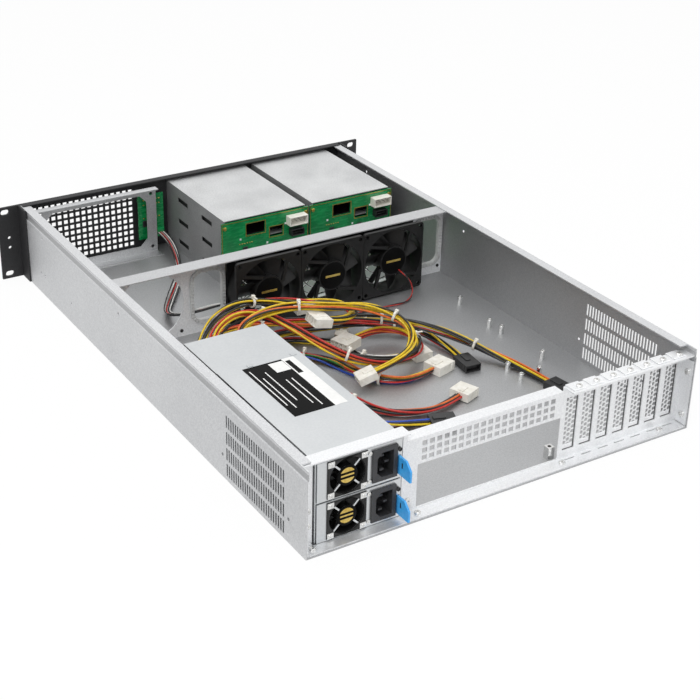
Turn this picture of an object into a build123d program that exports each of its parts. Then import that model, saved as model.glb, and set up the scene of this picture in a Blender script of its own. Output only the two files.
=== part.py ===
from build123d import *

import os
from math import pi, radians, tan

os.makedirs("parts", exist_ok=True)

# Case, in millimetres: +Z up, front at -Y, rear at +Y, origin under the middle of the tray
body_width = 430
body_depth = 650
body_height = 88
sheet = 1.2
wall_top = 87
joggle_height = 78
rim_width = 10
rim_gap_rear = 12
half_width = body_width / 2
front_y = -body_depth / 2
rear_y = body_depth / 2
floor_z = sheet
inner_half = half_width - sheet

# Front: panel, intake grid, drive bays, ears
panel_thick = 2
panel_return = 7
ear_reach = 26.3
ear_thick = 3
ear_flange = 21
rack_hole_pitch = 76.2
rack_slot_x = 465.1 / 2
rack_slot_radius = 3.3
rack_slot_length = 10
bay_x = (-24, -140)
bay_width = 104
bay_pitch = 27
bay_rows = 3
bay_height = bay_pitch * bay_rows
intake_x = 137
intake_z = 43.5
intake_columns = 17
intake_rows = 10
grid_hole = 5.2
grid_pitch = 7.5
button_x = 52
power_button_z = 66
reset_button_z = 48
fit_gap = 0.3

# Side vents: rows of upright slots in both walls
vent_rows = 4
vent_slot = (2.4, 13)
vent_pitch = (4.25, 16.8)
vent_z = 36.5
vent_y = {1: rear_y - 89, -1: rear_y - 104}
vent_columns = 25

# Rear panel, set in from the rear edge of the walls
panel_recess = 15
rear_panel_y = rear_y - panel_recess
io_left = -64.5
io_width = 158.75
io_height = 44.45
io_bottom = 3.5
io_top = 75
slot_count = 7
slot_pitch = 20.32
slot_right = -206
slot_width = 14
slot_bottom = 11
slot_height = 56
shelf_z = 80
shelf_depth = 14
cover_width = 18.4

# Fan wall and 80 mm fans
fan_wall_y = -89
fan_size = 80
fan_depth = 25
fan_bore = 38
fan_hole_pitch = 71.5
fan_flange = 4
fan_x = (32, -48.5, -129)
fan_z = 43.5
hub_radius = 16.5
blade_tip = 35
blade_count = 7
blade_thick = 1.3
beam_depth = 18
beam_z = 85.8
round_hole_x = 161
window_x = (94, -191)
window_size = (38, 60)
window_z = 44
grommet_wall = 2.2

# Drive cages and trays
cage_depth = 149
cage_width = 106
cage_sheet = 1
cage_rear = front_y + panel_thick + cage_depth
board_thick = 1.6
backplane_size = (114, 78)
board_middle_z = 42
air_windows = ((13, 68, 24, 14), (-14, 59, 17, 12), (10, 24, 30, 14))
socket_offset = -39
tray_length = 136
tray_height = 24.4
bezel_depth = 14
pocket_depth = 6
bezel_front = front_y - 8
lever_length = 84
lever_height = 16
lever_thick = 4

# Redundant supply
psu_left = 112
psu_right = 199
psu_top = 83.5
psu_front = 69
psu_rear = 311
psu_lid_end = 136
module_length = 170
module_gap = 0.4
module_proud = 1.5
module_fan_x = 168
module_fan_radius = 18
module_well_depth = 22
inlet_x = 131
inlet_size = (25, 32)
cable_exit = (147, 33)
cable_exit_size = (68, 58)
latch_x = 115.8
latch_length = 22
latch_height = 18

# Cable thicknesses
harness_thick = 9
long_harness_thick = 7
loom_thick = 6
lead_thick = 2.4


# Chassis tray: one folded sheet with joggled walls and inward rims
joggle = sheet
rim_x = half_width - joggle - rim_width
wall_hole = 1.6
wall_hole_points = ((-254, 71.7), (-264, 26), (-254, 26), (-177, 24), (-48, 68))

with BuildPart() as chassis_tray:
    with BuildSketch(Plane.XZ.offset(-rear_y)):
        with BuildLine():
            Polyline(
                (0, 0),
                (half_width, 0),
                (half_width, joggle_height - joggle / 2),
                (half_width - joggle, joggle_height + joggle / 2),
                (half_width - joggle, wall_top),
                (rim_x, wall_top),
                (rim_x, wall_top - sheet),
                (inner_half - joggle, wall_top - sheet),
                (inner_half - joggle, joggle_height),
                (inner_half, joggle_height - joggle),
                (inner_half, floor_z),
                (0, floor_z),
                close=True,
            )
        make_face()
        mirror(about=Plane.YZ)
    extrude(amount=body_depth - panel_thick)
    for side in (1, -1):
        rim_middle = side * (rim_x + (inner_half - joggle - rim_x) / 2)
        with Locations((rim_middle, rear_y - rim_gap_rear / 2, wall_top)):
            Box(inner_half - joggle - rim_x, rim_gap_rear, 3 * sheet, mode=Mode.SUBTRACT)
        rim_front = front_y + panel_thick
        with Locations((rim_middle, rim_front + panel_return / 2, wall_top)):
            Box(inner_half - joggle - rim_x, panel_return + 1, 3 * sheet, mode=Mode.SUBTRACT)
        wall_plane = Plane.YZ.offset(side * (half_width - sheet / 2))
        with BuildSketch(wall_plane):
            with Locations((vent_y[side], vent_z)):
                with GridLocations(*vent_pitch, vent_columns, vent_rows):
                    Rectangle(*vent_slot)
        extrude(amount=sheet, both=True, mode=Mode.SUBTRACT)
        with BuildSketch(wall_plane):
            beside_vents = vent_columns * vent_pitch[0] / 2 + 6.5
            with Locations((vent_y[side] - beside_vents, 24), (vent_y[side] + beside_vents, 24)):
                Circle(wall_hole)
            with Locations(*wall_hole_points):
                Circle(wall_hole)
        extrude(amount=sheet, both=True, mode=Mode.SUBTRACT)

# Rear panel: aperture, grid, slots, shelf and foot flange
io_middle = io_left + io_width / 2
slot_middle = slot_right + slot_width / 2 + slot_pitch * (slot_count - 1) / 2
psu_notch = (psu_left - 1.5, psu_right + 1.5)
step_x = io_left - 1
lip_z = 85.4
lip_side = 4.5
post_top = lip_z - sheet

with BuildPart() as rear_panel:
    with BuildSketch(Plane.XZ.offset(-rear_panel_y)):
        with BuildLine():
            Polyline(
                (-inner_half, floor_z),
                (inner_half, floor_z),
                (inner_half, joggle_height - joggle),
                (inner_half - joggle, joggle_height),
                (inner_half - joggle, post_top),
                (psu_notch[0] - lip_side, post_top),
                (psu_notch[0] - lip_side, io_top),
                (step_x, io_top),
                (step_x, shelf_z),
                (-inner_half + joggle, shelf_z),
                (-inner_half + joggle, joggle_height),
                (-inner_half, joggle_height - joggle),
                close=True,
            )
        make_face()
        with Locations((sum(psu_notch) / 2, body_height / 2)):
            Rectangle(psu_notch[1] - psu_notch[0], body_height, mode=Mode.SUBTRACT)
        with Locations((io_middle, io_bottom + io_height / 2)):
            Rectangle(io_width, io_height, mode=Mode.SUBTRACT)
        with Locations((io_middle + 2, io_bottom + io_height + 12.6)):
            with GridLocations(grid_pitch * 1.05, grid_pitch, 19, 3):
                Rectangle(grid_hole, grid_hole, mode=Mode.SUBTRACT)
        with Locations((slot_middle, slot_bottom + slot_height / 2)):
            with GridLocations(slot_pitch, 1, slot_count, 1):
                Rectangle(slot_width, slot_height, mode=Mode.SUBTRACT)
    extrude(amount=sheet)
    shelf_width = step_x + inner_half - joggle
    with Locations((step_x - shelf_width / 2, rear_panel_y + shelf_depth / 2, shelf_z - sheet / 2)):
        Box(shelf_width, shelf_depth, sheet)
    flange_width = psu_notch[0] - lip_side - step_x
    with Locations((step_x + flange_width / 2, rear_panel_y - sheet - 6, io_top - sheet / 2)):
        Box(flange_width, 12, sheet)
    with BuildSketch(Plane.XY.offset(floor_z)):
        with Locations((0, rear_panel_y + shelf_depth / 2)):
            Rectangle(2 * inner_half, shelf_depth)
        with Locations((sum(psu_notch) / 2, rear_panel_y)):
            Rectangle(psu_notch[1] - psu_notch[0], 5, mode=Mode.SUBTRACT)
        with Locations((slot_middle, rear_panel_y + 3.6)):
            with GridLocations(slot_pitch, 5, slot_count, 1):
                Rectangle(12, 1.2, mode=Mode.SUBTRACT)
    extrude(amount=sheet)
    for side in (1, -1):
        with Locations((side * (inner_half - sheet / 2), rear_panel_y + shelf_depth / 2, 38)):
            Box(sheet, shelf_depth, 70)

# Strip across the top of the supply's notch, on the panel's two posts
lip_width = inner_half - joggle - psu_notch[0] + lip_side
with BuildPart() as rear_lip:
    with Locations((psu_notch[0] - lip_side + lip_width / 2, rear_panel_y - 2, lip_z - sheet / 2)):
        Box(lip_width, shelf_depth, sheet)

# Perforated covers behind the seven slots, each with a tab on the shelf
with BuildPart() as slot_covers:
    cover_y = rear_panel_y - sheet - 0.5
    with Locations((slot_middle, cover_y, (shelf_z + 4) / 2)):
        with GridLocations(slot_pitch, 1, slot_count, 1):
            Box(cover_width, 1, shelf_z - 4 + 1)
    with Locations((slot_middle, cover_y + 6, shelf_z + 0.5)):
        with GridLocations(slot_pitch, 1, slot_count, 1):
            Box(cover_width, 13, 1)

# Floor hardware: standoffs for the board and the grounding post by the aperture
standoff_points = (
    (-182, -5), (-177, 57), (-179, 76), (-181, 144), (-88, 24), (-62, -17),
    (-133, 147), (-156, 170), (-131, 172),
)
with BuildPart() as standoffs:
    with BuildSketch(Plane.XY.offset(floor_z)):
        with Locations(*standoff_points):
            RegularPolygon(3, 6)
            Circle(1.3, mode=Mode.SUBTRACT)
    extrude(amount=6.5)
    with BuildSketch(Plane.XY.offset(floor_z)):
        with Locations((io_left + 3, rear_panel_y - 8)):
            Rectangle(7, 7)
            Circle(1.8, mode=Mode.SUBTRACT)
    extrude(amount=13)

# Front panel: intake grid, opening for each drive column, button bores, top return
with BuildPart() as front_panel:
    with BuildSketch(Plane.XZ.offset(-front_y - panel_thick)):
        with Locations((0, body_height / 2)):
            Rectangle(body_width, body_height)
        with Locations((intake_x, intake_z)):
            with GridLocations(grid_pitch, grid_pitch, intake_columns, intake_rows):
                Rectangle(grid_hole, grid_hole, mode=Mode.SUBTRACT)
        for middle in bay_x:
            with Locations((middle, floor_z + bay_height / 2)):
                Rectangle(bay_width, bay_height - 1, mode=Mode.SUBTRACT)
        with Locations((button_x, power_button_z)):
            Circle(4.7, mode=Mode.SUBTRACT)
        with Locations((button_x, reset_button_z)):
            Circle(2.2, mode=Mode.SUBTRACT)
    extrude(amount=panel_thick)
    with Locations((0, front_y + panel_thick + panel_return / 2, body_height - sheet / 2)):
        Box(2 * inner_half - 2 * joggle, panel_return, sheet)


def rack_ear(side):
    """A bent plate: slotted front face beyond the case and a flange along the side wall."""
    with BuildPart() as ear:
        with BuildSketch(Plane.XZ.offset(-front_y - ear_thick)):
            with Locations((side * (half_width + ear_reach / 2), body_height / 2)):
                Rectangle(ear_reach, body_height)
            with Locations((side * rack_slot_x, body_height / 2)):
                with GridLocations(1, rack_hole_pitch, 1, 2):
                    SlotOverall(rack_slot_length, 2 * rack_slot_radius, mode=Mode.SUBTRACT)
                with Locations((-side * 3, -6), (-side * 3, 6)):
                    Circle(2, mode=Mode.SUBTRACT)
        extrude(amount=ear_thick)
        with Locations((side * (half_width + 0.9), front_y + ear_thick + ear_flange / 2, body_height / 2)):
            Box(1.8, ear_flange, body_height)
    return ear


def push_button(middle_z, radius):
    """A push button: cap in the panel, collar behind it, stem towards the control board."""
    panel_back = front_y + panel_thick
    with BuildPart() as button:
        with BuildSketch(Plane.XZ.offset(-panel_back - 0.1)):
            with Locations((button_x, middle_z)):
                Circle(radius)
        extrude(amount=panel_thick + 2.1)
        with BuildSketch(Plane.XZ.offset(-panel_back - 1.1)):
            with Locations((button_x, middle_z)):
                Circle(radius + 1.6)
        extrude(amount=1)
        with BuildSketch(Plane.XZ.offset(-panel_back - 4.6)):
            with Locations((button_x, middle_z)):
                Circle(1.5)
        extrude(amount=3.5)
    return button


# Vent bracket: upright frame with a chamfered window behind the intake grid
bracket_y = front_y + 18
bracket_left = 51
bracket_right = 203
bracket_middle = (bracket_left + bracket_right) / 2
with BuildPart() as vent_bracket:
    with BuildSketch(Plane.XZ.offset(-bracket_y)):
        with Locations((bracket_middle, (floor_z + 84) / 2)):
            Rectangle(bracket_right - bracket_left, 84 - floor_z)
        with Locations((bracket_middle, 42.6)):
            with GridLocations(139, 68, 2, 2):
                Circle(2.1, mode=Mode.SUBTRACT)
    extrude(amount=sheet)
    with BuildSketch(Plane.XZ.offset(-bracket_y)):
        with Locations((bracket_middle, 43.5)):
            Rectangle(127, 65)
        chamfer(vertices(), 9)
    extrude(amount=sheet, mode=Mode.SUBTRACT)
    with Locations((bracket_middle, bracket_y + 4, 84 - sheet / 2)):
        Box(bracket_right - bracket_left, 8, sheet)
    with Locations((bracket_middle, bracket_y + 7, floor_z + sheet / 2)):
        Box(bracket_right - bracket_left, 14, sheet)

# Control board on spacers behind the front panel, with the loom header
board_y = front_y + 8.4
header_depth = 7
with BuildPart() as control_board:
    with Locations((54.5, board_y + board_thick / 2, body_height / 2)):
        Box(33, board_thick, 56)
    with Locations((45.5, board_y + board_thick + header_depth / 2, 24)):
        Box(9, header_depth, 9)
    spacer = board_y - front_y - panel_thick
    with Locations((67, board_y - spacer / 2, 24), (67, board_y - spacer / 2, 64)):
        Box(4, spacer, 4)

# Fan wall: upright sheet with fan openings, round cut-out, cable windows, top and foot flanges
fan_wall_bottom = floor_z
with BuildPart() as fan_wall:
    with BuildSketch(Plane.XZ.offset(-fan_wall_y)):
        with Locations((0, (fan_wall_bottom + joggle_height - joggle) / 2)):
            Rectangle(2 * inner_half, joggle_height - joggle - fan_wall_bottom)
        with Locations((0, (joggle_height - joggle + beam_z) / 2)):
            Rectangle(2 * (inner_half - joggle), beam_z - joggle_height + joggle)
        with Locations((round_hole_x, fan_z)):
            Circle(fan_bore + 0.5, mode=Mode.SUBTRACT)
        with Locations(*[(x, fan_z) for x in fan_x]):
            Circle(fan_bore - 1, mode=Mode.SUBTRACT)
        with Locations(*[(x, window_z) for x in window_x]):
            RectangleRounded(*window_size, 12, mode=Mode.SUBTRACT)
    extrude(amount=sheet)
    with Locations((0, fan_wall_y + beam_depth / 2, beam_z - sheet / 2)):
        Box(2 * (inner_half - joggle), beam_depth, sheet)
    with Locations((0, fan_wall_y - sheet - 6, floor_z + sheet / 2)):
        Box(2 * inner_half - 1, 12, sheet)

# Edge guards clipped round the cable windows
with BuildPart() as cable_grommets:
    guard_width = window_size[0]
    guard_height = window_size[1]
    inside_width = guard_width - 2 * grommet_wall
    inside_height = guard_height - 2 * grommet_wall
    with BuildSketch(Plane.XZ.offset(-fan_wall_y - 1.8)):
        with Locations(*[(x, window_z) for x in window_x]):
            RectangleRounded(guard_width + 4, guard_height + 4, 14)
            RectangleRounded(inside_width, inside_height, 9.8, mode=Mode.SUBTRACT)
    extrude(amount=sheet + 3.6)
    with BuildSketch(Plane.XZ.offset(-fan_wall_y)):
        with Locations(*[(x, window_z) for x in window_x]):
            RectangleRounded(guard_width + 8, guard_height + 8, 16)
            RectangleRounded(guard_width, guard_height, 12, mode=Mode.SUBTRACT)
    extrude(amount=sheet, mode=Mode.SUBTRACT)


def fan_frame(middle_x):
    """An 80 mm fan frame: square flanges, round duct, motor base on four slanted struts."""
    rear_face = fan_wall_y + fan_depth
    with BuildPart() as frame:
        with BuildSketch(Plane.XZ.offset(-rear_face)):
            with Locations((middle_x, fan_z)):
                RectangleRounded(fan_size, fan_size, 4)
                Circle(fan_bore, mode=Mode.SUBTRACT)
                with GridLocations(fan_hole_pitch, fan_hole_pitch, 2, 2):
                    Circle(2.2, mode=Mode.SUBTRACT)
        extrude(amount=fan_depth)
        with BuildSketch(Plane.XZ.offset(-rear_face + fan_flange)):
            with Locations((middle_x, fan_z)):
                Rectangle(fan_size + 2, fan_size + 2)
                Circle(fan_bore + 1.6, mode=Mode.SUBTRACT)
        extrude(amount=fan_depth - 2 * fan_flange, mode=Mode.SUBTRACT)
        with BuildSketch(Plane.XZ.offset(-rear_face)):
            with Locations((middle_x, fan_z)):
                Circle(hub_radius + 1)
                with PolarLocations(hub_radius - 3, 4, start_angle=20):
                    with Locations((14, 12)):
                        Rectangle(30, 3.4, rotation=-6)
            with Locations((middle_x, fan_z)):
                Circle(fan_bore + 0.2, mode=Mode.INTERSECT)
        extrude(amount=3)
        with BuildSketch(Plane.XZ.offset(-rear_face + 3)):
            with Locations((middle_x, fan_z)):
                Circle(3)
        extrude(amount=6)
    return frame


def fan_rotor(middle_x, middle_z, rear_face, hub, tip, chord, depth, count, sleeve):
    """A hub with curved pitched blades, open at the rear where it runs on the motor sleeve."""
    blade_plane = Plane(
        origin=(middle_x, rear_face - depth / 2, middle_z), x_dir=(0, 1, 0), z_dir=(1, 0, 0)
    )
    leading = (-0.38 * chord, -0.5 * chord)
    crown = (0.06 * chord, -0.05 * chord)
    trailing = (0.38 * chord, 0.5 * chord)
    with BuildPart() as rotor:
        with BuildSketch(Plane.XZ.offset(-rear_face)):
            with Locations((middle_x, middle_z)):
                Circle(hub)
        extrude(amount=depth)
        with BuildSketch(blade_plane.offset(hub - 2)):
            with BuildLine():
                ThreePointArc(leading, crown, trailing)
                Line(trailing, (trailing[0] - blade_thick, trailing[1]))
                ThreePointArc(
                    (trailing[0] - blade_thick, trailing[1]),
                    (crown[0] - blade_thick, crown[1]),
                    (leading[0] - blade_thick, leading[1]),
                )
                Line((leading[0] - blade_thick, leading[1]), leading)
            make_face()
        blade = extrude(amount=tip - hub + 2, mode=Mode.PRIVATE)
        spin = Axis((middle_x, rear_face, middle_z), (0, 1, 0))
        for index in range(count):
            add(blade.rotate(spin, index * 360 / count))
        with BuildSketch(Plane.XZ.offset(-rear_face)):
            with Locations((middle_x, middle_z)):
                Circle(sleeve)
        extrude(amount=depth - 3, mode=Mode.SUBTRACT)
    return rotor


def drive_cage(middle_x):
    """An upside-down channel with slotted sides and a shelf under each upper bay."""
    cage_middle_y = front_y + panel_thick + cage_depth / 2
    cage_top = floor_z + bay_height + cage_sheet
    with BuildPart() as cage:
        with BuildSketch(Plane.XZ.offset(-cage_rear)):
            with Locations((middle_x, (floor_z + cage_top) / 2)):
                Rectangle(cage_width, cage_top - floor_z)
            for row in range(bay_rows):
                bay_bottom = floor_z + row * bay_pitch
                shelf = 0 if row == 0 else cage_sheet
                with Locations((middle_x, (bay_bottom + shelf + bay_bottom + bay_pitch) / 2)):
                    Rectangle(bay_width, bay_pitch - shelf, mode=Mode.SUBTRACT)
        extrude(amount=cage_depth)
        with BuildSketch(Plane.YZ.offset(middle_x)):
            with Locations((cage_middle_y, floor_z + bay_height / 2)):
                with GridLocations(62, bay_pitch, 2, bay_rows):
                    Rectangle(26, 6)
        extrude(amount=cage_width, both=True, mode=Mode.SUBTRACT)
    return cage


def backplane(middle_x):
    """A drive backplane board with its air windows."""
    with BuildPart() as board:
        with BuildSketch(Plane.XZ.offset(-cage_rear - board_thick)):
            with Locations((middle_x, board_middle_z)):
                Rectangle(*backplane_size)
            for offset, window_middle_z, width, height in air_windows:
                with Locations((middle_x + offset, window_middle_z)):
                    Rectangle(width, height, mode=Mode.SUBTRACT)
        extrude(amount=board_thick)
    return board


# Sockets on the rear face of the backplanes: power above, data below
socket_y = cage_rear + board_thick
power_socket_depth = 10
data_socket_depth = 8
with BuildPart() as board_sockets:
    with BuildSketch(Plane.XZ.offset(-socket_y - power_socket_depth)):
        with Locations(*[(x + socket_offset, 70) for x in bay_x]):
            Rectangle(24, 11)
    extrude(amount=power_socket_depth)
    with BuildSketch(Plane.XZ.offset(-socket_y - data_socket_depth)):
        with Locations(*[(x + socket_offset, 55) for x in bay_x]):
            Rectangle(17, 8)
        with Locations((bay_x[0] + 32, 10)):
            Rectangle(12, 8)
    extrude(amount=data_socket_depth)


def drive_tray(middle_x, row):
    """A hot-swap drive tray: bezel with a lever pocket in front of a base with two side rails."""
    bottom = floor_z + row * bay_pitch + cage_sheet + fit_gap
    middle_z = bottom + tray_height / 2
    tray_width = bay_width - 2
    frame_front = front_y + 6
    with BuildPart() as tray:
        with Locations((middle_x, bezel_front + bezel_depth / 2, middle_z)):
            Box(tray_width, bezel_depth, tray_height)
        with Locations((middle_x, bezel_front + pocket_depth / 2, middle_z)):
            Box(lever_length + 5, pocket_depth, lever_height + 1.2, mode=Mode.SUBTRACT)
        with Locations((middle_x, bezel_front + bezel_depth / 2, middle_z)):
            with GridLocations(15, 1, 5, 1):
                Box(9, bezel_depth, 9, mode=Mode.SUBTRACT)
        with Locations((middle_x, frame_front + tray_length / 2, bottom + 0.7)):
            Box(tray_width - 1, tray_length, 1.4)
        for side in (1, -1):
            rail_x = middle_x + side * (tray_width / 2 - 1.3)
            with Locations((rail_x, frame_front + tray_length / 2, bottom + 10)):
                Box(1.6, tray_length, 20)
        with Locations((middle_x + lever_length / 2 - 2, bezel_front + pocket_depth / 2, middle_z)):
            Cylinder(1.3, tray_height - 3, mode=Mode.SUBTRACT)
    return tray


def tray_lever(middle_x, row):
    """The lever in a tray's bezel, turning about the upright pin at one end."""
    middle_z = floor_z + row * bay_pitch + cage_sheet + fit_gap + tray_height / 2
    pin_x = middle_x + lever_length / 2 - 2
    with BuildPart() as lever:
        with BuildSketch(Plane.XY.offset(middle_z - lever_height / 2)):
            with Locations((middle_x - 1, bezel_front + 2.6)):
                Rectangle(lever_length - 2, lever_thick - 0.8)
            with Locations((pin_x, bezel_front + pocket_depth / 2)):
                Circle(2.6)
        extrude(amount=lever_height)
        with Locations((middle_x - 30, bezel_front + pocket_depth / 2, middle_z)):
            Box(12, pocket_depth, 7, mode=Mode.SUBTRACT)
        with Locations((pin_x, bezel_front + pocket_depth / 2, middle_z)):
            Cylinder(1.25, tray_height - 4)
    return lever


# Supply housing: closed box with two module bays and a separate front lid step
psu_middle = (psu_left + psu_right) / 2
psu_width = psu_right - psu_left
module_pitch = (psu_top - floor_z) / 2 - 0.5
module_width = psu_width - 2 * sheet - 2 * module_gap
module_height = module_pitch - sheet - 2 * module_gap
bay_clear = sheet + module_gap + module_height / 2
module_z = (floor_z + bay_clear, psu_top - bay_clear)
module_front = psu_rear - module_length
bay_front = module_front - 4
with BuildPart() as psu_housing:
    with Locations((psu_middle, (psu_front + psu_rear) / 2, (floor_z + psu_top) / 2)):
        Box(psu_width, psu_rear - psu_front, psu_top - floor_z)
    with Locations(*[(psu_middle, (bay_front + psu_rear) / 2, z) for z in module_z]):
        Box(psu_width - 2 * sheet, psu_rear - bay_front, module_height + 2 * module_gap, mode=Mode.SUBTRACT)
    with Locations((psu_middle, (psu_front + psu_lid_end) / 2, psu_top)):
        Box(psu_width + 1, psu_lid_end - psu_front, 1.2, mode=Mode.SUBTRACT)
    with Locations((psu_middle, psu_lid_end, psu_top)):
        Box(psu_width + 1, 0.8, 2.4, mode=Mode.SUBTRACT)

with BuildPart() as psu_cable_bush:
    with BuildSketch(Plane.XZ.offset(-psu_front)):
        with Locations(cable_exit):
            RectangleRounded(*cable_exit_size, 6)
    extrude(amount=3)


def psu_module(middle_z):
    """A hot-swap supply module: body with fan well, wire guard, inlet seat and latch slot."""
    module_rear = psu_rear + module_proud
    guard_y = module_rear - 1.2
    with BuildPart() as module:
        with Locations((psu_middle, (module_front + module_rear) / 2, middle_z)):
            Box(module_width, module_rear - module_front, module_height)
        with BuildSketch(Plane.XZ.offset(-module_rear)):
            with Locations((module_fan_x, middle_z)):
                Circle(module_fan_radius)
        extrude(amount=module_well_depth, mode=Mode.SUBTRACT)
        with Locations((inlet_x, module_rear, middle_z)):
            Box(inlet_size[0], 40, inlet_size[1], mode=Mode.SUBTRACT)
        with Locations((latch_x, module_rear - 4, middle_z - 6)):
            Box(3.9, 8, latch_height + 0.8, mode=Mode.SUBTRACT)
        with Locations((latch_x, module_rear - 3.4, middle_z - 6)):
            Cylinder(1.05, latch_height + 5, mode=Mode.SUBTRACT)
        with BuildSketch(Plane.XZ.offset(-guard_y - 1.2)):
            with Locations((module_fan_x, middle_z)):
                Rectangle(2 * module_fan_radius + 1.6, 1.6, rotation=45)
                Rectangle(2 * module_fan_radius + 1.6, 1.6, rotation=-45)
                Circle(9)
                Circle(7.6, mode=Mode.SUBTRACT)
                Rectangle(15.4, 1.6, rotation=45)
                Rectangle(15.4, 1.6, rotation=-45)
        extrude(amount=1.2)
        with BuildSketch(Plane.XZ.offset(-module_rear + module_well_depth - 2)):
            with Locations((module_fan_x, middle_z)):
                Circle(2)
        extrude(amount=2.5)
    return module


def psu_inlet(middle_z):
    """A mains inlet standing upright, with three pins in its socket."""
    module_rear = psu_rear + module_proud
    with BuildPart() as inlet:
        with Locations((inlet_x, module_rear - 9, middle_z)):
            Box(inlet_size[0], 22, inlet_size[1])
        with BuildSketch(Plane.XZ.offset(-module_rear - 2)):
            with Locations((inlet_x, middle_z)):
                Rectangle(16.5, 24.5)
            chamfer(vertices().group_by(Axis.X)[-1], 5)
        extrude(amount=16, mode=Mode.SUBTRACT)
        pins = ((inlet_x - 3.5, middle_z), (inlet_x + 1.5, middle_z + 7), (inlet_x + 1.5, middle_z - 7))
        with Locations(*[(x, module_rear - 8, z) for x, z in pins]):
            Box(4, 12.4, 2)
    return inlet


def psu_latch(middle_z):
    """A blue release tab standing out of the module's face beside the inlet."""
    module_rear = psu_rear + module_proud
    latch_z = middle_z - 6
    with BuildPart() as latch:
        with BuildSketch(Plane.XY.offset(latch_z - latch_height / 2)):
            with Locations((latch_x, module_rear - 3.4)):
                Circle(1.6)
            with Locations((latch_x, module_rear - 3.4 + latch_length / 2)):
                Rectangle(2, latch_length)
        extrude(amount=latch_height)
        with Locations((latch_x, module_rear - 3.4, latch_z)):
            Cylinder(1, latch_height + 4)
        with BuildSketch(Plane.YZ.offset(latch_x - 5)):
            with Locations((module_rear - 3.4 + latch_length, latch_z + latch_height / 2)):
                Rectangle(10, 10, rotation=45)
        extrude(amount=10, mode=Mode.SUBTRACT)
    return latch


# Cables: the routes are points along each bundle, joined by tangent arcs
harness_1_route = (
    (155, 66, 52), (155, 44, 52), (141, 20, 58), (112, 4, 63), (82, 6, 60), (60, 30, 49), (40, 60, 37),
    (14, 86, 25), (-18, 100, 19), (-52, 96, 18), (-74, 70, 18), (-68, 40, 18), (-42, 24, 18), (-14, 34, 18),
)
harness_2_route = (
    (120, 66, 30), (120, 42, 30), (102, 21, 22), (75, 20, 13.5), (53, 40, 7.5), (46, 74, 6.5), (50, 110, 6.5),
    (42, 146, 6.5), (16, 174, 6.5), (-20, 184, 6.5), (-52, 172, 6.5),
)
harness_3_route = (
    (138, 66, 14), (138, 42, 14), (124, 18, 8.5), (97, 4, 6.5), (64, 6, 6.5), (36, 22, 6.5), (17, 48, 6.5),
    (12, 80, 6.5), (-4, 108, 6.5), (-32, 122, 6.5), (-60, 114, 6.5),
)
harness_4_route = (
    (172, 66, 30), (172, 42, 30), (156, 14, 36), (124, -6, 40), (88, -12, 38), (50, -6, 35),
    (12, 6, 33), (-26, 20, 33), (-62, 40, 31), (-92, 66, 26), (-116, 96, 17), (-135, 128, 8),
    (-146, 162, 5.5), (-150, 194, 5.5),
)
harness_5_route = (
    (150, 66, 34), (150, 42, 34), (126, 22, 29), (98, 4, 24), (68, -8, 21), (36, -13, 18), (4, -12, 16),
    (-28, -6, 15), (-58, 7, 13.5), (-83, 26, 12.5), (-99, 52, 9.5), (-104, 80, 6.5), (-102, 106, 6),
)
harness_6_route = (
    (126, 66, 54), (126, 43, 54), (113, 24, 62), (89, 20, 67), (64, 26, 70), (38, 36, 70), (14, 42, 67),
    (-9, 46, 62), (-31, 53, 56), (-47, 67, 50), (-52, 88, 43), (-41, 106, 35), (-18, 111, 26),
    (5, 106, 18),
)
harness_7_route = (
    (172, 66, 50), (172, 44, 50), (154, 14, 50), (126, -14, 55), (92, -28, 58), (60, -30, 52),
    (30, -24, 46), (4, -10, 45), (-16, 8, 47), (-16, 34, 49), (6, 50, 52), (27, 49, 57),
)
harness_8_route = (
    (122, 66, 10), (122, 44, 10), (107, 24, 6.5), (82, 24, 6), (66.5, 44, 6), (66, 70, 6), (70, 98, 6),
    (76, 126, 6), (72, 154, 6), (54, 176, 6), (28, 190, 6), (2, 199, 6),
)
harness_9_route = (
    (172, 66, 12), (172, 44, 12), (158, 16, 8), (132, -10, 6), (98, -22, 6), (62, -24, 6), (28, -18, 6),
    (6, 2, 6), (-6, 28, 6), (-12, 56, 6), (-34, 74, 6), (-60, 76, 6),
)
fan_lead_1_route = ((30, -64, 33), (30, -57, 33), (27, -50, 28), (20, -45, 24), (11, -44, 24))
fan_lead_2_route = (
    (-137, -64, 31), (-137, -56, 31), (-141, -48, 23), (-144, -45, 13), (-141, -41, 5.5),
    (-132, -37.5, 3), (-119, -36.5, 2.9), (-101, -39, 2.9), (-78, -40, 2.9), (-60, -37, 3.4),
    (-44, -28, 5.5), (-33, -15, 5.5),
)
loom_route = (
    (45.5, -308, 24), (45.5, -286, 24), (49, -257, 11), (62, -224, 5.5), (84, -192, 5.5), (106, -162, 5.5),
    (122, -136, 8), (122, -112, 15), (103, -100, 21), (78, -98, 23), (52, -102, 20), (31, -113, 13),
    (15, -131, 10), (8, -149, 10), (8, -164.4, 10),
)


def cable_tube(name, route, thickness):
    """A round tube along straight runs joined by arcs as large as the runs allow."""
    points = [Vector(*point) for point in route]
    runs = [after - before for before, after in zip(points, points[1:])]
    radii = []
    for before, after in zip(runs, runs[1:]):
        half_turn = before.get_angle(after) / 2
        shorter = min(before.length, after.length)
        radii.append(0.45 * shorter / tan(radians(half_turn)))
    with BuildPart() as tube:
        with BuildLine() as path:
            FilletPolyline(*points, radius=radii)
        with BuildSketch(Plane(origin=points[0], z_dir=runs[0])):
            Circle(thickness / 2)
        sweep()
    length = sum(edge.length for edge in path.edges())
    expected = pi * thickness**2 / 4 * length
    print(name, "length", round(length, 1), "volume ratio", round(tube.part.volume / expected, 4))
    print("  radii", [round(radius, 1) for radius in radii])
    return tube


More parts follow.
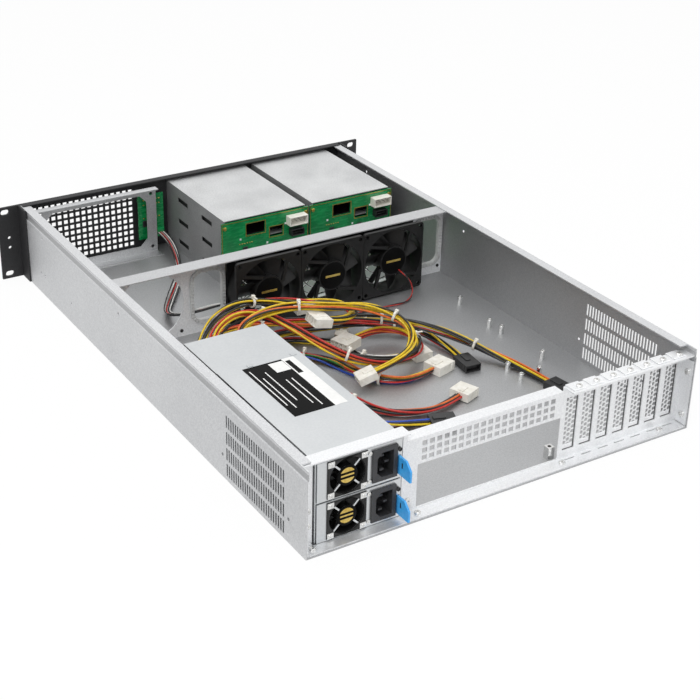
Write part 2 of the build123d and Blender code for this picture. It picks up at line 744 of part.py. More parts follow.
def connector_block(route, size):
    """A cable connector: a block in line with the end of its cable."""
    end = Vector(*route[-1])
    heading = end - Vector(*route[-2])
    block_plane = Plane(origin=end, x_dir=(-heading.Y, heading.X, 0), z_dir=heading)
    with BuildPart() as block:
        with BuildSketch(block_plane):
            Rectangle(size[0], size[1])
        extrude(amount=size[2])
        with BuildSketch(block_plane.offset(size[2])):
            Rectangle(size[0] - 3, size[1] - 3)
        extrude(amount=-5, mode=Mode.SUBTRACT)
    return block


def write(name, built):
    """Labels a finished piece and writes it."""
    built.part.label = name
    export_step(built.part, f"parts/{name}.step")


write("chassis_tray", chassis_tray)
write("rear_panel", rear_panel)
write("rear_lip", rear_lip)
write("slot_covers", slot_covers)
write("standoffs", standoffs)
write("front_panel", front_panel)
write("ear_left", rack_ear(1))
write("ear_right", rack_ear(-1))
write("power_button", push_button(power_button_z, 4.5))
write("reset_button", push_button(reset_button_z, 2))
write("vent_bracket", vent_bracket)
write("control_board", control_board)
write("fan_wall", fan_wall)
write("cable_grommets", cable_grommets)
write("board_sockets", board_sockets)
write("psu_housing", psu_housing)
write("psu_cable_bush", psu_cable_bush)

fan_rotor_rear = fan_wall_y + fan_depth - 3.4
for index, middle_x in enumerate(fan_x, 1):
    write(f"fan_frame_{index}", fan_frame(middle_x))
    rotor = fan_rotor(middle_x, fan_z, fan_rotor_rear, hub_radius, blade_tip, 21, 19, blade_count, 3.05)
    write(f"fan_rotor_{index}", rotor)

for side_name, middle_x in zip(("left", "right"), bay_x):
    write(f"drive_cage_{side_name}", drive_cage(middle_x))
    write(f"backplane_{side_name}", backplane(middle_x))

tray_number = 0
for middle_x in bay_x:
    for row in range(bay_rows):
        tray_number += 1
        write(f"drive_tray_{tray_number}", drive_tray(middle_x, row))
        write(f"tray_lever_{tray_number}", tray_lever(middle_x, row))

module_rotor_rear = psu_rear + module_proud - 2
for index, middle_z in enumerate(module_z, 1):
    write(f"psu_module_{index}", psu_module(middle_z))
    write(f"psu_inlet_{index}", psu_inlet(middle_z))
    write(f"psu_latch_{index}", psu_latch(middle_z))
    rotor = fan_rotor(module_fan_x, middle_z, module_rotor_rear, 9, 16.4, 9, 12, 5, 1)
    write(f"psu_rotor_{index}", rotor)

harness_plan = (
    (harness_1_route, harness_thick, (22, 10, 24)),
    (harness_2_route, harness_thick, (22, 9, 20)),
    (harness_3_route, harness_thick, (22, 10, 24)),
    (harness_4_route, long_harness_thick, (18, 8, 26)),
    (harness_5_route, long_harness_thick, (18, 8, 26)),
    (harness_6_route, long_harness_thick, (18, 8, 20)),
    (harness_7_route, long_harness_thick, (22, 9, 20)),
    (harness_8_route, long_harness_thick, (18, 8, 26)),
    (harness_9_route, long_harness_thick, (22, 9, 20)),
)
lead_connector = (12, 8, 28)
connectors = Part()
for index, (route, thickness, size) in enumerate(harness_plan, 1):
    write(f"harness_{index}", cable_tube(f"harness_{index}", route, thickness))
    connectors += connector_block(route, size).part
for index, route in enumerate((fan_lead_1_route, fan_lead_2_route), 1):
    write(f"fan_lead_{index}", cable_tube(f"fan_lead_{index}", route, lead_thick))
    connectors += connector_block(route, lead_connector).part
write("front_loom", cable_tube("front_loom", loom_route, loom_thick))

with BuildPart() as cable_connectors:
    add(connectors)
write("cable_connectors", cable_connectors)
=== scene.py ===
import math
import random

import bpy
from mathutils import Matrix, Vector


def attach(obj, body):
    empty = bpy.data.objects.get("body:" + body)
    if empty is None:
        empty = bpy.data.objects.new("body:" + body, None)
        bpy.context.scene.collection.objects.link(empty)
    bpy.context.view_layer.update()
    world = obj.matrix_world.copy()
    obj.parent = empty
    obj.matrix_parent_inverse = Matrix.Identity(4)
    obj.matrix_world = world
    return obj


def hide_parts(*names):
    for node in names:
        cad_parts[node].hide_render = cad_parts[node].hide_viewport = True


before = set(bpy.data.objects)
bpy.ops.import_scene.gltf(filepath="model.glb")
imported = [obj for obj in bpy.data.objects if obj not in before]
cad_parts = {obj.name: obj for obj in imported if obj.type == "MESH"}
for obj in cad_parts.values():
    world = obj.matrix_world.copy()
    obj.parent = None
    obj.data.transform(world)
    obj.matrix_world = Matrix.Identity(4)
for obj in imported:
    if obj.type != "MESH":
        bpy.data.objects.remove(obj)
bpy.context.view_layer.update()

mm = 0.001


# Small tools for the pieces below

def clearSelection():
    bpy.ops.object.select_all(action="DESELECT")


def selectOnly(piece):
    clearSelection()
    piece.select_set(True)
    bpy.context.view_layer.objects.active = piece


def applyPlace(piece):
    selectOnly(piece)
    bpy.ops.object.transform_apply(location=True, rotation=True, scale=True)
    return piece


def addBlock(name, centre, size, bevel=0, segments=1):
    clearSelection()
    bpy.ops.mesh.primitive_cube_add(size=mm, location=Vector(centre) * mm, scale=size)
    piece = bpy.context.object
    piece.name = name
    applyPlace(piece)
    if bevel:
        roundEdges(piece, bevel, segments)
    return piece


def addRod(name, centre, radius, depth, sides=24, turn=(90, 0, 0), fill="NGON"):
    clearSelection()
    bpy.ops.mesh.primitive_cylinder_add(
        vertices=sides, radius=radius * mm, depth=depth * mm, end_fill_type=fill,
        location=Vector(centre) * mm, rotation=[math.radians(angle) for angle in turn],
    )
    piece = bpy.context.object
    piece.name = name
    return applyPlace(piece)


def leaveEdit():
    if bpy.context.mode != "OBJECT":
        bpy.ops.object.mode_set(mode="OBJECT")


def anyFace(face):
    return True


def facing(axis, sign=1):
    # a test for the faces that look along an axis, or against it with sign -1
    return lambda face: getattr(face.normal, axis) * sign > 0.9


def pickFaces(piece, test):
    # leaves the piece in edit mode with the faces that pass the test selected
    leaveEdit()
    selectOnly(piece)
    bpy.ops.object.mode_set(mode="EDIT")
    bpy.ops.mesh.select_mode(type="FACE")
    bpy.ops.mesh.select_all(action="DESELECT")
    bpy.ops.object.mode_set(mode="OBJECT")
    for face in piece.data.polygons:
        face.select = test(face)
    bpy.ops.object.mode_set(mode="EDIT")


def pushFaces(amount, direction):
    # extrudes the selected faces by an amount in mm
    move = Vector(direction) * amount * mm
    bpy.ops.mesh.extrude_region_move(TRANSFORM_OT_translate={"value": move})


def nudgeFaces(*move):
    # moves the selected faces by a distance in mm along each axis
    bpy.ops.transform.translate(value=Vector(move) * mm)


def insetFaces(width, each=False):
    bpy.ops.mesh.inset(thickness=width * mm, depth=0, use_individual=each)


def cutAt(place, normal, drop=False):
    # cuts the whole piece with a plane, and can drop the side its normal points to
    bpy.ops.mesh.select_all(action="SELECT")
    bpy.ops.mesh.bisect(plane_co=Vector(place) * mm, plane_no=normal, clear_outer=drop)


def applyModifier(piece, kind, **settings):
    selectOnly(piece)
    modifier = piece.modifiers.new(kind.lower(), kind)
    for key, value in settings.items():
        setattr(modifier, key, value)
    bpy.ops.object.modifier_apply(modifier=modifier.name)


def roundEdges(piece, width, segments=2):
    applyModifier(piece, "BEVEL", width=width * mm, segments=segments, limit_method="ANGLE")


def joinPieces(name, parts):
    selectOnly(parts[0])
    for part in parts[1:]:
        part.select_set(True)
    if len(parts) > 1:
        bpy.ops.object.join()
    piece = bpy.context.object
    piece.name = name
    return piece


def copyPiece(piece, name, move=(0, 0, 0)):
    selectOnly(piece)
    bpy.ops.object.duplicate(linked=False)
    copy = bpy.context.object
    copy.name = name
    copy.location = Vector(move) * mm
    return applyPlace(copy)


def finishPiece(piece, look=None, body="case", replaces=(), angle=35):
    # a piece that carries its materials already comes without a look
    if look:
        piece.data.materials.append(finish[look])
    selectOnly(piece)
    bpy.ops.object.shade_smooth_by_angle(angle=math.radians(angle))
    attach(piece, body)
    if replaces:
        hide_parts(*replaces)
    return piece


# Materials

def hexColor(text):
    channels = [int(text[index:index + 2], 16) / 255 for index in (1, 3, 5)]
    linear = [c / 12.92 if c <= 0.04045 else ((c + 0.055) / 1.055) ** 2.4 for c in channels]
    return (*linear, 1)


def addNode(material, kind, values=None, links=None, **settings):
    node = material.node_tree.nodes.new("ShaderNode" + kind)
    for key, value in settings.items():
        setattr(node, key, value)
    for key, value in (values or {}).items():
        node.inputs[key].default_value = value
    for key, (source, output) in (links or {}).items():
        material.node_tree.links.new(source.outputs[output], node.inputs[key])
    return node


def addMath(material, operation, *inputs):
    # a pair is the output of another node, a number stands for itself
    values = {index: value for index, value in enumerate(inputs) if not isinstance(value, tuple)}
    links = {index: value for index, value in enumerate(inputs) if isinstance(value, tuple)}
    return addNode(material, "Math", values, links, operation=operation)


def makeSurface(name, look):
    look = {**plainLook, **look}
    material = bpy.data.materials.new(name)
    material.use_nodes = True
    material.node_tree.nodes.clear()
    place = addNode(material, "TexCoord")
    stretched = addNode(
        material, "Mapping", {"Scale": look["stretch"]}, {"Vector": (place, "Object")}
    )
    grain = addNode(
        material, "TexNoise", {"Scale": 1 / (look["grain"] * mm), "Detail": 2},
        {"Vector": (stretched, "Vector")},
    )
    patches = addNode(
        material, "TexNoise", {"Scale": 1 / (look["patches"] * mm), "Detail": 3},
        {"Vector": (place, "Object")},
    )
    shares = addMath(material, "MULTIPLY", (grain, "Fac"), look["share"])
    blend = addMath(material, "MULTIPLY_ADD", (patches, "Fac"), 1 - look["share"], (shares, 0))
    tones = addNode(material, "ValToRGB", links={"Fac": (blend, 0)})
    low, high = tones.color_ramp.elements
    low.position, high.position = 0.32, 0.68
    low.color, high.color = hexColor(look["dark"]), hexColor(look["light"])
    colour = (tones, "Color")
    if "inner" in look:
        # painted shade and light: the tones of what lies in a box round the middle of the case are scaled by
        # a factor, below 1 for shade and above 1 for light
        half, top, tone = look["inner"]
        axes = addNode(material, "SeparateXYZ", links={"Vector": (place, "Object")})
        side = addMath(material, "ABSOLUTE", (axes, "X"))
        beside = addMath(material, "LESS_THAN", (side, 0), half * mm)
        below = addMath(material, "LESS_THAN", (axes, "Z"), top * mm)
        inside = addMath(material, "MULTIPLY", (beside, 0), (below, 0))
        factor = addMath(material, "MULTIPLY_ADD", (inside, 0), tone - 1, 1)
        shaded = addNode(
            material, "VectorMath", links={0: (tones, "Color"), "Scale": (factor, 0)}, operation="SCALE"
        )
        colour = (shaded, "Vector")
    gloss = addNode(
        material, "MapRange", {"To Min": look["roughness"][0], "To Max": look["roughness"][1]},
        {"Value": (grain, "Fac")},
    )
    bump = addNode(
        material, "Bump", {"Strength": look["bump"], "Distance": look["relief"] * mm},
        {"Height": (grain, "Fac")},
    )
    shader = addNode(
        material, "BsdfPrincipled",
        {
            "Metallic": look["metallic"], "IOR": 1.5, "Coat Weight": look["coat"],
            "Specular IOR Level": look["specular"],
        },
        {"Base Color": colour, "Roughness": (gloss, "Result"), "Normal": (bump, "Normal")},
    )
    addNode(material, "OutputMaterial", links={"Surface": (shader, "BSDF")})
    return material


# grain, patches: sizes of the fine and the coarse mottle in mm; share: of the fine one; relief: its depth
# in mm; inner: half width and top in mm of a box round the middle of the case, and the factor of the painted
# shade and light in it
plainLook = {
    "share": 0.4, "stretch": (1, 1, 1), "bump": 0.06, "relief": 0.03,
    "metallic": 0, "coat": 0, "specular": 0.5,
}
sheetLook = {"grain": 1.4, "patches": 120, "share": 0.75, "bump": 0.12}
platedLook = {"grain": 1.5, "patches": 8, "share": 0.5, "metallic": 1, "bump": 0.05, "relief": 0.02}
surfaces = {
    # hot-dip galvanised sheet, rolled: a fine grey speckle, drawn 1.4 mm coarse so that it shows
    "galvanisedSheet": {
        **sheetLook, "light": "#DADBDC", "dark": "#BFC0C2", "roughness": (0.36, 0.52), "metallic": 1,
    },
    # the tray: the same sheet, a little rougher, with painted shade that darkens its inside
    "trayGalvanisedSheet": {
        **sheetLook, "light": "#D6D7D8", "dark": "#BEBFC1", "roughness": (0.46, 0.6), "metallic": 1,
        "inner": (214.2, 84.0, 0.73),
    },
    # the fan wall, the same kind of sheet in darker tones: painted light makes its upright plate brighter
    # than the beam along its top
    "wallGalvanisedSheet": {
        **sheetLook, "light": "#C6C7C8", "dark": "#B2B3B5", "roughness": (0.4, 0.55), "metallic": 0.4,
        "share": 0.7, "inner": (400, 84.6, 1.65),
    },
    # the rear panel and the slot covers: the same sheet as the case, its tones raised with painted light
    "panelGalvanisedSheet": {
        **sheetLook, "light": "#EDEEEF", "dark": "#DBDCDE", "roughness": (0.36, 0.52), "metallic": 0.7,
    },
    # the supply's casing, thinner zinc plated sheet: smoother and paler than the chassis
    "zincPlatedCasing": {
        "light": "#D3D5D6", "dark": "#C4C7C9", "grain": 2.2, "patches": 90,
        "roughness": (0.34, 0.44), "metallic": 1, "bump": 0.05, "relief": 0.02,
    },
    # pickled sheet of the drive cages: matt, with a dull cloudiness, and painted shade that makes the sides
    # darker than the top
    "cageSheet": {
        "light": "#D6D7D7", "dark": "#B4B5B6", "grain": 1.6, "patches": 40, "share": 0.6,
        "roughness": (0.5, 0.66), "metallic": 0.85, "bump": 0.1, "inner": (400, 82.9, 0.63),
    },
    # textured powder coat on steel: a tight orange peel of about half a millimetre
    "blackPowderCoat": {
        "light": "#2C2C2E", "dark": "#1A1A1B", "grain": 0.9, "patches": 60, "share": 0.7,
        "roughness": (0.5, 0.68), "bump": 0.5, "relief": 0.08, "specular": 0.35,
    },
    # glass filled PBT, moulded: satin black with faint flow marks
    "blackPbt": {
        "light": "#1C1C1C", "dark": "#0E0E0E", "grain": 3, "patches": 30,
        "roughness": (0.34, 0.48), "bump": 0.08, "specular": 0.35,
    },
    # solder mask over glass cloth: glossy green, with tracks that lighten it in streaks
    "greenSolderMask": {
        "light": "#179653", "dark": "#0B6F3C", "grain": 2.4, "patches": 14, "share": 0.5,
        "stretch": (0.25, 1, 1), "roughness": (0.2, 0.34), "bump": 0.25, "coat": 0.3,
    },
    # natural nylon of the cable connectors: milky, slightly waxy
    "naturalNylon": {
        "light": "#F1EFE8", "dark": "#DAD6CA", "grain": 5, "patches": 20,
        "roughness": (0.34, 0.46), "bump": 0.05,
    },
    # black nylon of sockets and drive plugs
    "blackNylon": {
        "light": "#262627", "dark": "#161617", "grain": 4, "patches": 20, "roughness": (0.36, 0.5),
    },
    # dark grey glass filled nylon of the mains inlets
    "inletNylon": {
        "light": "#3A3A3C", "dark": "#262628", "grain": 2, "patches": 14, "share": 0.5,
        "roughness": (0.42, 0.56), "bump": 0.1, "relief": 0.04,
    },
    # dyed nylon of the release tabs: clear sky blue, satin
    "skyBlueNylon": {
        "light": "#4BAFF0", "dark": "#2F95DE", "grain": 3, "patches": 12, "roughness": (0.3, 0.42),
    },
    # pale grey nylon of the edge guards: slightly translucent looking
    "paleGreyNylon": {
        "light": "#D3D4D3", "dark": "#B9BABA", "grain": 2.5, "patches": 12, "share": 0.5,
        "roughness": (0.4, 0.55), "bump": 0.08,
    },
    # nickel plated screws, posts and clips: small and bright
    "nickelPlate": {
        **platedLook, "light": "#E4E4E2", "dark": "#C9C9C8", "roughness": (0.16, 0.28),
    },
    # gold flash on board pads and outlines
    "goldFlash": {
        **platedLook, "light": "#E2C878", "dark": "#B99A48", "roughness": (0.25, 0.4),
    },
    # blackened field of the adhesive sheet on the supply
    "blackCoatedPaper": {
        "light": "#0D0D0D", "dark": "#060606", "grain": 4, "patches": 40,
        "roughness": (0.4, 0.52), "relief": 0.02, "specular": 0.06,
    },
    # bare white of the same sheet
    "whiteCoatedPaper": {
        "light": "#F0F0EE", "dark": "#E3E3E1", "grain": 4, "patches": 40,
        "roughness": (0.34, 0.46), "relief": 0.02,
    },
}

# PVC insulation of the wires: soft and satin, slightly marked along its length
wireColors = {
    # the letter that stands for the wire below, with its name and tones
    "y": ("yellow", "#EBCB22", "#C9A711"),
    "k": ("black", "#1D1D1E", "#0F0F10"),
    "r": ("red", "#C9291F", "#9E1B14"),
    "o": ("orange", "#E8742A", "#BF5516"),
    "b": ("blue", "#2F59C4", "#1E3E96"),
    "g": ("green", "#3E8F3A", "#276B26"),
    "w": ("white", "#EDEDEA", "#D2D2CE"),
    "s": ("grey", "#9A9B9C", "#7C7D7E"),
}
for colour, light, dark in wireColors.values():
    surfaces[colour + "Pvc"] = {
        "light": light, "dark": dark, "grain": 3, "patches": 12,
        "roughness": (0.32, 0.45), "bump": 0.08,
    }

finish = {name: makeSurface(name, look) for name, look in surfaces.items()}
print("materials made:", len(finish))

# Camera: behind and above the rear corner on the supply's side, as the photograph was taken

cameraSettings = {
    "place": (0.72736, 1.18198, 0.72893),
    "turn": (63.417, -0.894, 148.627),
    "lens": 75.17,
    "shift": (0.0286, -0.05),
    "sensor": 36,
    "clip": (0.05, 60),
}
clearSelection()
bpy.ops.object.camera_add(
    location=cameraSettings["place"],
    rotation=[math.radians(angle) for angle in cameraSettings["turn"]],
)
camera = bpy.context.object
camera.data.lens = cameraSettings["lens"]
camera.data.sensor_width = cameraSettings["sensor"]
camera.data.shift_x, camera.data.shift_y = cameraSettings["shift"]
camera.data.clip_start, camera.data.clip_end = cameraSettings["clip"]
bpy.context.scene.camera = camera

# Cables: bundles of single wires that follow the routes, in metres

harnessRoutes = {
    "harness_1": (
        (0.155, 0.066, 0.052), (0.155, 0.044, 0.052), (0.141, 0.02, 0.058), (0.112, 0.004, 0.063),
        (0.082, 0.006, 0.06), (0.06, 0.03, 0.049), (0.04, 0.06, 0.037), (0.014, 0.086, 0.025),
        (-0.018, 0.1, 0.019), (-0.052, 0.096, 0.018), (-0.074, 0.07, 0.018), (-0.068, 0.04, 0.018),
        (-0.042, 0.024, 0.018), (-0.014, 0.034, 0.018),
    ),
    "harness_2": (
        (0.12, 0.066, 0.03), (0.12, 0.042, 0.03), (0.102, 0.021, 0.022), (0.075, 0.02, 0.0135),
        (0.053, 0.04, 0.0075), (0.046, 0.074, 0.0065), (0.05, 0.11, 0.0065), (0.042, 0.146, 0.0065),
        (0.016, 0.174, 0.0065), (-0.02, 0.184, 0.0065), (-0.052, 0.172, 0.0065),
    ),
    "harness_3": (
        (0.138, 0.066, 0.014), (0.138, 0.042, 0.014), (0.124, 0.018, 0.0085), (0.097, 0.004, 0.0065),
        (0.064, 0.006, 0.0065), (0.036, 0.022, 0.0065), (0.017, 0.048, 0.0065), (0.012, 0.08, 0.0065),
        (-0.004, 0.108, 0.0065), (-0.032, 0.122, 0.0065), (-0.06, 0.114, 0.0065),
    ),
    "harness_4": (
        (0.172, 0.066, 0.03), (0.172, 0.042, 0.03), (0.156, 0.014, 0.036), (0.124, -0.006, 0.04),
        (0.088, -0.012, 0.038), (0.05, -0.006, 0.035), (0.012, 0.006, 0.033), (-0.026, 0.02, 0.033),
        (-0.062, 0.04, 0.031), (-0.092, 0.066, 0.026), (-0.116, 0.096, 0.017), (-0.135, 0.128, 0.008),
        (-0.146, 0.162, 0.0055), (-0.15, 0.194, 0.0055),
    ),
    "harness_5": (
        (0.15, 0.066, 0.034), (0.15, 0.042, 0.034), (0.126, 0.022, 0.029), (0.098, 0.004, 0.024),
        (0.068, -0.008, 0.021), (0.036, -0.013, 0.018), (0.004, -0.012, 0.016), (-0.028, -0.006, 0.015),
        (-0.058, 0.007, 0.0135), (-0.083, 0.026, 0.0125), (-0.099, 0.052, 0.0095),
        (-0.104, 0.08, 0.0065), (-0.102, 0.106, 0.006),
    ),
    "harness_6": (
        (0.126, 0.066, 0.054), (0.126, 0.043, 0.054), (0.113, 0.024, 0.062), (0.089, 0.02, 0.067),
        (0.064, 0.026, 0.07), (0.038, 0.036, 0.07), (0.014, 0.042, 0.067), (-0.009, 0.046, 0.062),
        (-0.031, 0.053, 0.056), (-0.047, 0.067, 0.05), (-0.052, 0.088, 0.043), (-0.041, 0.106, 0.035),
        (-0.018, 0.111, 0.026), (0.005, 0.106, 0.018),
    ),
    "harness_7": (
        (0.172, 0.066, 0.05), (0.172, 0.044, 0.05), (0.154, 0.014, 0.05), (0.126, -0.014, 0.055),
        (0.092, -0.028, 0.058), (0.06, -0.03, 0.052), (0.03, -0.024, 0.046), (0.004, -0.01, 0.045),
        (-0.016, 0.008, 0.047), (-0.016, 0.034, 0.049), (0.006, 0.05, 0.052), (0.027, 0.049, 0.057),
    ),
    "harness_8": (
        (0.122, 0.066, 0.01), (0.122, 0.044, 0.01), (0.107, 0.024, 0.0065), (0.082, 0.024, 0.006),
        (0.0665, 0.044, 0.006), (0.066, 0.07, 0.006), (0.07, 0.098, 0.006), (0.076, 0.126, 0.006),
        (0.072, 0.154, 0.006), (0.054, 0.176, 0.006), (0.028, 0.19, 0.006), (0.002, 0.199, 0.006),
    ),
    "harness_9": (
        (0.172, 0.066, 0.012), (0.172, 0.044, 0.012), (0.158, 0.016, 0.008), (0.132, -0.01, 0.006),
        (0.098, -0.022, 0.006), (0.062, -0.024, 0.006), (0.028, -0.018, 0.006), (0.006, 0.002, 0.006),
        (-0.006, 0.028, 0.006), (-0.012, 0.056, 0.006), (-0.034, 0.074, 0.006), (-0.06, 0.076, 0.006),
    ),
    "fan_lead_1": (
        (0.03, -0.064, 0.033), (0.03, -0.057, 0.033), (0.027, -0.05, 0.028), (0.02, -0.045, 0.024),
        (0.011, -0.044, 0.024),
    ),
    "fan_lead_2": (
        (-0.137, -0.064, 0.031), (-0.137, -0.056, 0.031), (-0.141, -0.048, 0.023),
        (-0.144, -0.045, 0.013), (-0.141, -0.041, 0.0055), (-0.132, -0.0375, 0.003),
        (-0.119, -0.0365, 0.0029), (-0.101, -0.039, 0.0029), (-0.078, -0.04, 0.0029),
        (-0.06, -0.037, 0.0034), (-0.044, -0.028, 0.0055), (-0.033, -0.015, 0.0055),
    ),
    "front_loom": (
        (0.0455, -0.308, 0.024), (0.0455, -0.286, 0.024), (0.049, -0.257, 0.011),
        (0.062, -0.224, 0.0055), (0.084, -0.192, 0.0055), (0.106, -0.162, 0.0055),
        (0.122, -0.136, 0.008), (0.122, -0.112, 0.015), (0.103, -0.1, 0.021), (0.078, -0.098, 0.023),
        (0.052, -0.102, 0.02), (0.031, -0.113, 0.013), (0.015, -0.131, 0.01), (0.008, -0.149, 0.01),
        (0.008, -0.1644, 0.01),
    ),
}
# wires: their colours; wire, bundle: thickness of one and of all in mm; tidy, spread: how far from the middle
# the outer wires run at the ends and between them, in mm; twist: turn in radians; length: in metres;
# ties: their places as shares of the length; plug: kind of connector at the end
thickBundle = {"wire": 2.3, "spread": 4.6, "tidy": 3.4, "bundle": 9}
thinBundle = {"wire": 2.2, "spread": 3.6, "tidy": 2.5, "bundle": 7}
fanLead = {"wire": 1.2, "spread": 0.62, "tidy": 0.62, "bundle": 2.4, "twist": 25}
bundleSettings = {
    "harness_1": {
        **thickBundle, "twist": 9, "length": 0.408,
        "ties": (0.3, 0.52, 0.8), "plug": "broad", "wires": "yykkorykry",
    },
    "harness_2": {
        **thickBundle, "twist": 10, "length": 0.321,
        "ties": (0.35, 0.68), "plug": "flat", "wires": "ykkrykork",
    },
    "harness_3": {
        **thickBundle, "twist": 8, "length": 0.3,
        "ties": (0.5, 0.82), "plug": "broad", "wires": "yykrgkyob",
    },
    "harness_4": {
        **thinBundle, "twist": 11, "length": 0.475,
        "ties": (0.33, 0.6, 0.82), "plug": "drive", "wires": "ykkroyk",
    },
    "harness_5": {
        **thinBundle, "spread": 3.7, "twist": 9, "length": 0.366,
        "ties": (0.28, 0.75), "plug": "drive", "wires": "kykrkyk",
    },
    "harness_6": {
        **thinBundle, "spread": 3.8, "twist": 8, "length": 0.31,
        "ties": (0.34, 0.7), "plug": "short", "wires": "yykyoky",
    },
    "harness_7": {
        **thinBundle, "spread": 3.7, "twist": 9, "length": 0.323,
        "ties": (0.42,), "plug": "flat", "wires": "kyrkyky",
    },
    "harness_8": {
        **thinBundle, "twist": 8, "length": 0.288, "ties": (0.4, 0.78), "plug": "drive", "wires": "rkykrkb",
    },
    "harness_9": {
        **thinBundle, "twist": 9, "length": 0.334, "ties": (0.36, 0.86), "plug": "flat", "wires": "kkyrkyw",
    },
    "fan_lead_1": {
        **fanLead, "length": 0.034, "plug": "fan", "wires": "rk",
    },
    "fan_lead_2": {
        **fanLead, "length": 0.156, "plug": "fan", "wires": "rk",
    },
    "front_loom": {
        "wire": 1.3, "spread": 4.2, "tidy": 4.2, "bundle": 6, "twist": 0.6, "length": 0.3755,
        "flat": True, "wires": "kwksrkwk",
    },
}


def placeCurve(name, curve):
    carrier = bpy.data.objects.new(name, curve)
    bpy.context.collection.objects.link(carrier)
    return carrier


def routeLine(name, route):
    # the smooth line of a cable, with the route's points as control points
    line = bpy.data.curves.new(name + "Line", "CURVE")
    line.dimensions = "3D"
    line.resolution_u = 10
    spline = line.splines.new("NURBS")
    spline.points.add(len(route) - 1)
    for point, place in zip(spline.points, route):
        point.co = (*place, 1)
    spline.order_u = 3
    spline.use_endpoint_u = True
    carrier = placeCurve(name + "Line", line)
    mesh = bpy.data.meshes.new_from_object(carrier)
    points = [vertex.co.copy() for vertex in mesh.vertices]
    bpy.data.objects.remove(carrier)
    return points


def framesAlong(points):
    # a steady pair of side directions at every point of the line
    frames = []
    side = None
    for index in range(len(points)):
        ahead = points[min(index + 1, len(points) - 1)] - points[max(index - 1, 0)]
        ahead.normalize()
        if side is None:
            side = ahead.cross(Vector((0, 0, 1)))
        side = (side - ahead * side.dot(ahead)).normalized()
        frames.append((side.copy(), ahead.cross(side)))
    return frames


def packedPlaces(count):
    # places of round wires in a bundle: one in the middle, then rings
    places = []
    ring = 0
    while len(places) < count:
        around = 1 if ring == 0 else min(6 * ring, count - len(places))
        for step in range(around):
            places.append((ring, 2 * math.pi * step / around))
        ring += 1
    return places


# held: share of the length at each end where the wires run tidy; sway, middle: shares of the spread;
# twist: a factor; wander: in radians; floor: height of its top in mm
stray = {"held": 0.12, "sway": 0.22, "middle": 0.12, "twist": 0.7, "wander": 0.5, "floor": 1.25}


def wireBundle(name, look, chance):
    points = routeLine(name, harnessRoutes[name])
    frames = framesAlong(points)
    wires = [wireColors[letter][0] for letter in look["wires"]]
    places = packedPlaces(len(wires)) if len(wires) > 2 else [(1, 0), (1, math.pi)]
    if look.get("flat"):
        # a ribbon: the wires lie side by side across the line
        middle = (len(wires) - 1) / 2
        places = [
            (abs(number - middle), 0 if number > middle else math.pi) for number in range(len(wires))
        ]
    rings = max(ring for ring, angle in places)
    strands = []
    for colour in sorted(set(wires)):
        strand = bpy.data.curves.new(name + colour, "CURVE")
        strand.dimensions = "3D"
        strand.bevel_depth = look["wire"] * mm / 2
        strand.bevel_resolution = 2
        strand.use_fill_caps = True
        for number, wireColour in enumerate(wires):
            if wireColour != colour:
                continue
            ring, start = places[number]
            phase = chance.uniform(0, 6)
            rate = chance.uniform(2.5, 4.5)
            spline = strand.splines.new("POLY")
            spline.points.add(len(points) - 1)
            for index, point in enumerate(points):
                share = index / (len(points) - 1)
                loose = min(1, share / stray["held"], (1 - share) / stray["held"])
                reach = look["tidy"] + (look["spread"] - look["tidy"]) * loose
                sway = 1 + stray["sway"] * loose * math.sin(phase + rate * math.pi * share * 2)
                distance = reach * sway * ring / rings * mm
                if ring == 0:
                    distance = stray["middle"] * look["spread"] * loose * mm
                wander = stray["wander"] * loose * math.sin(phase + 5 * share)
                angle = start + look["twist"] * share * stray["twist"] + wander
                side, other = frames[index]
                offset = side * math.cos(angle) * distance + other * math.sin(angle) * distance
                place = point + offset
                place.z = max(place.z, (stray["floor"] + look["wire"] / 2) * mm)
                spline.points[index].co = (*place, 1)
        selectOnly(placeCurve(name + colour, strand))
        bpy.ops.object.convert(target="MESH")
        holder = bpy.context.object
        holder.data.materials.clear()
        holder.data.materials.append(finish[colour + "Pvc"])
        strands.append(holder)
    bundle = joinPieces(name + "_wires", strands)
    finishPiece(bundle, replaces=[name], angle=60)
    return bundle, points


tieSettings = {
    # head, tail: place from the strap's outside, and size
    "width": 2.6, "thick": 1.0, "grip": 0.2,
    "head": (1.6, 0, (4.4, 3.6, 4.0)), "tail": (2.2, 4.2, (0.9, 7, 2.2)),
}


def cableTie(name, points, share, radius):
    # a ring of flat strap with its square head, drawn once round z and then set on the cable
    strap = addRod(name, (0, 0, 0), radius, tieSettings["width"], 28, (0, 0, 0), "NOTHING")
    applyModifier(strap, "SOLIDIFY", thickness=tieSettings["thick"] * mm, offset=1)
    out, along, size = tieSettings["head"]
    head = addBlock(name + "Head", (radius + out, along, 0), size, 0.6, 2)
    out, along, size = tieSettings["tail"]
    tail = addBlock(name + "Tail", (radius + out, along, 0), size, 0.3)
    tie = joinPieces(name, [strap, head, tail])
    index = int(share * (len(points) - 1))
    ahead = points[min(index + 1, len(points) - 1)] - points[index - 1]
    tie.rotation_mode = "QUATERNION"
    tie.rotation_quaternion = ahead.to_track_quat("Z", "X")
    tie.location = points[index]
    applyPlace(tie)
    return finishPiece(tie, "naturalNylon")


# size: across, up and along; cells: columns and rows of contacts
plugKinds = {
    "broad": {"size": (22, 10, 24), "cells": (4, 2), "finish": "naturalNylon"},
    "flat": {"size": (22, 9, 20), "cells": (4, 1), "finish": "naturalNylon"},
    "short": {"size": (18, 8, 20), "cells": (4, 2), "finish": "naturalNylon"},
    "drive": {"size": (18, 8, 26), "cells": (1, 1), "finish": "blackNylon"},
    "fan": {"size": (12, 8, 28), "cells": (3, 1), "finish": "naturalNylon"},
}


cellSettings = {"wall": 0.8, "depth": 7}


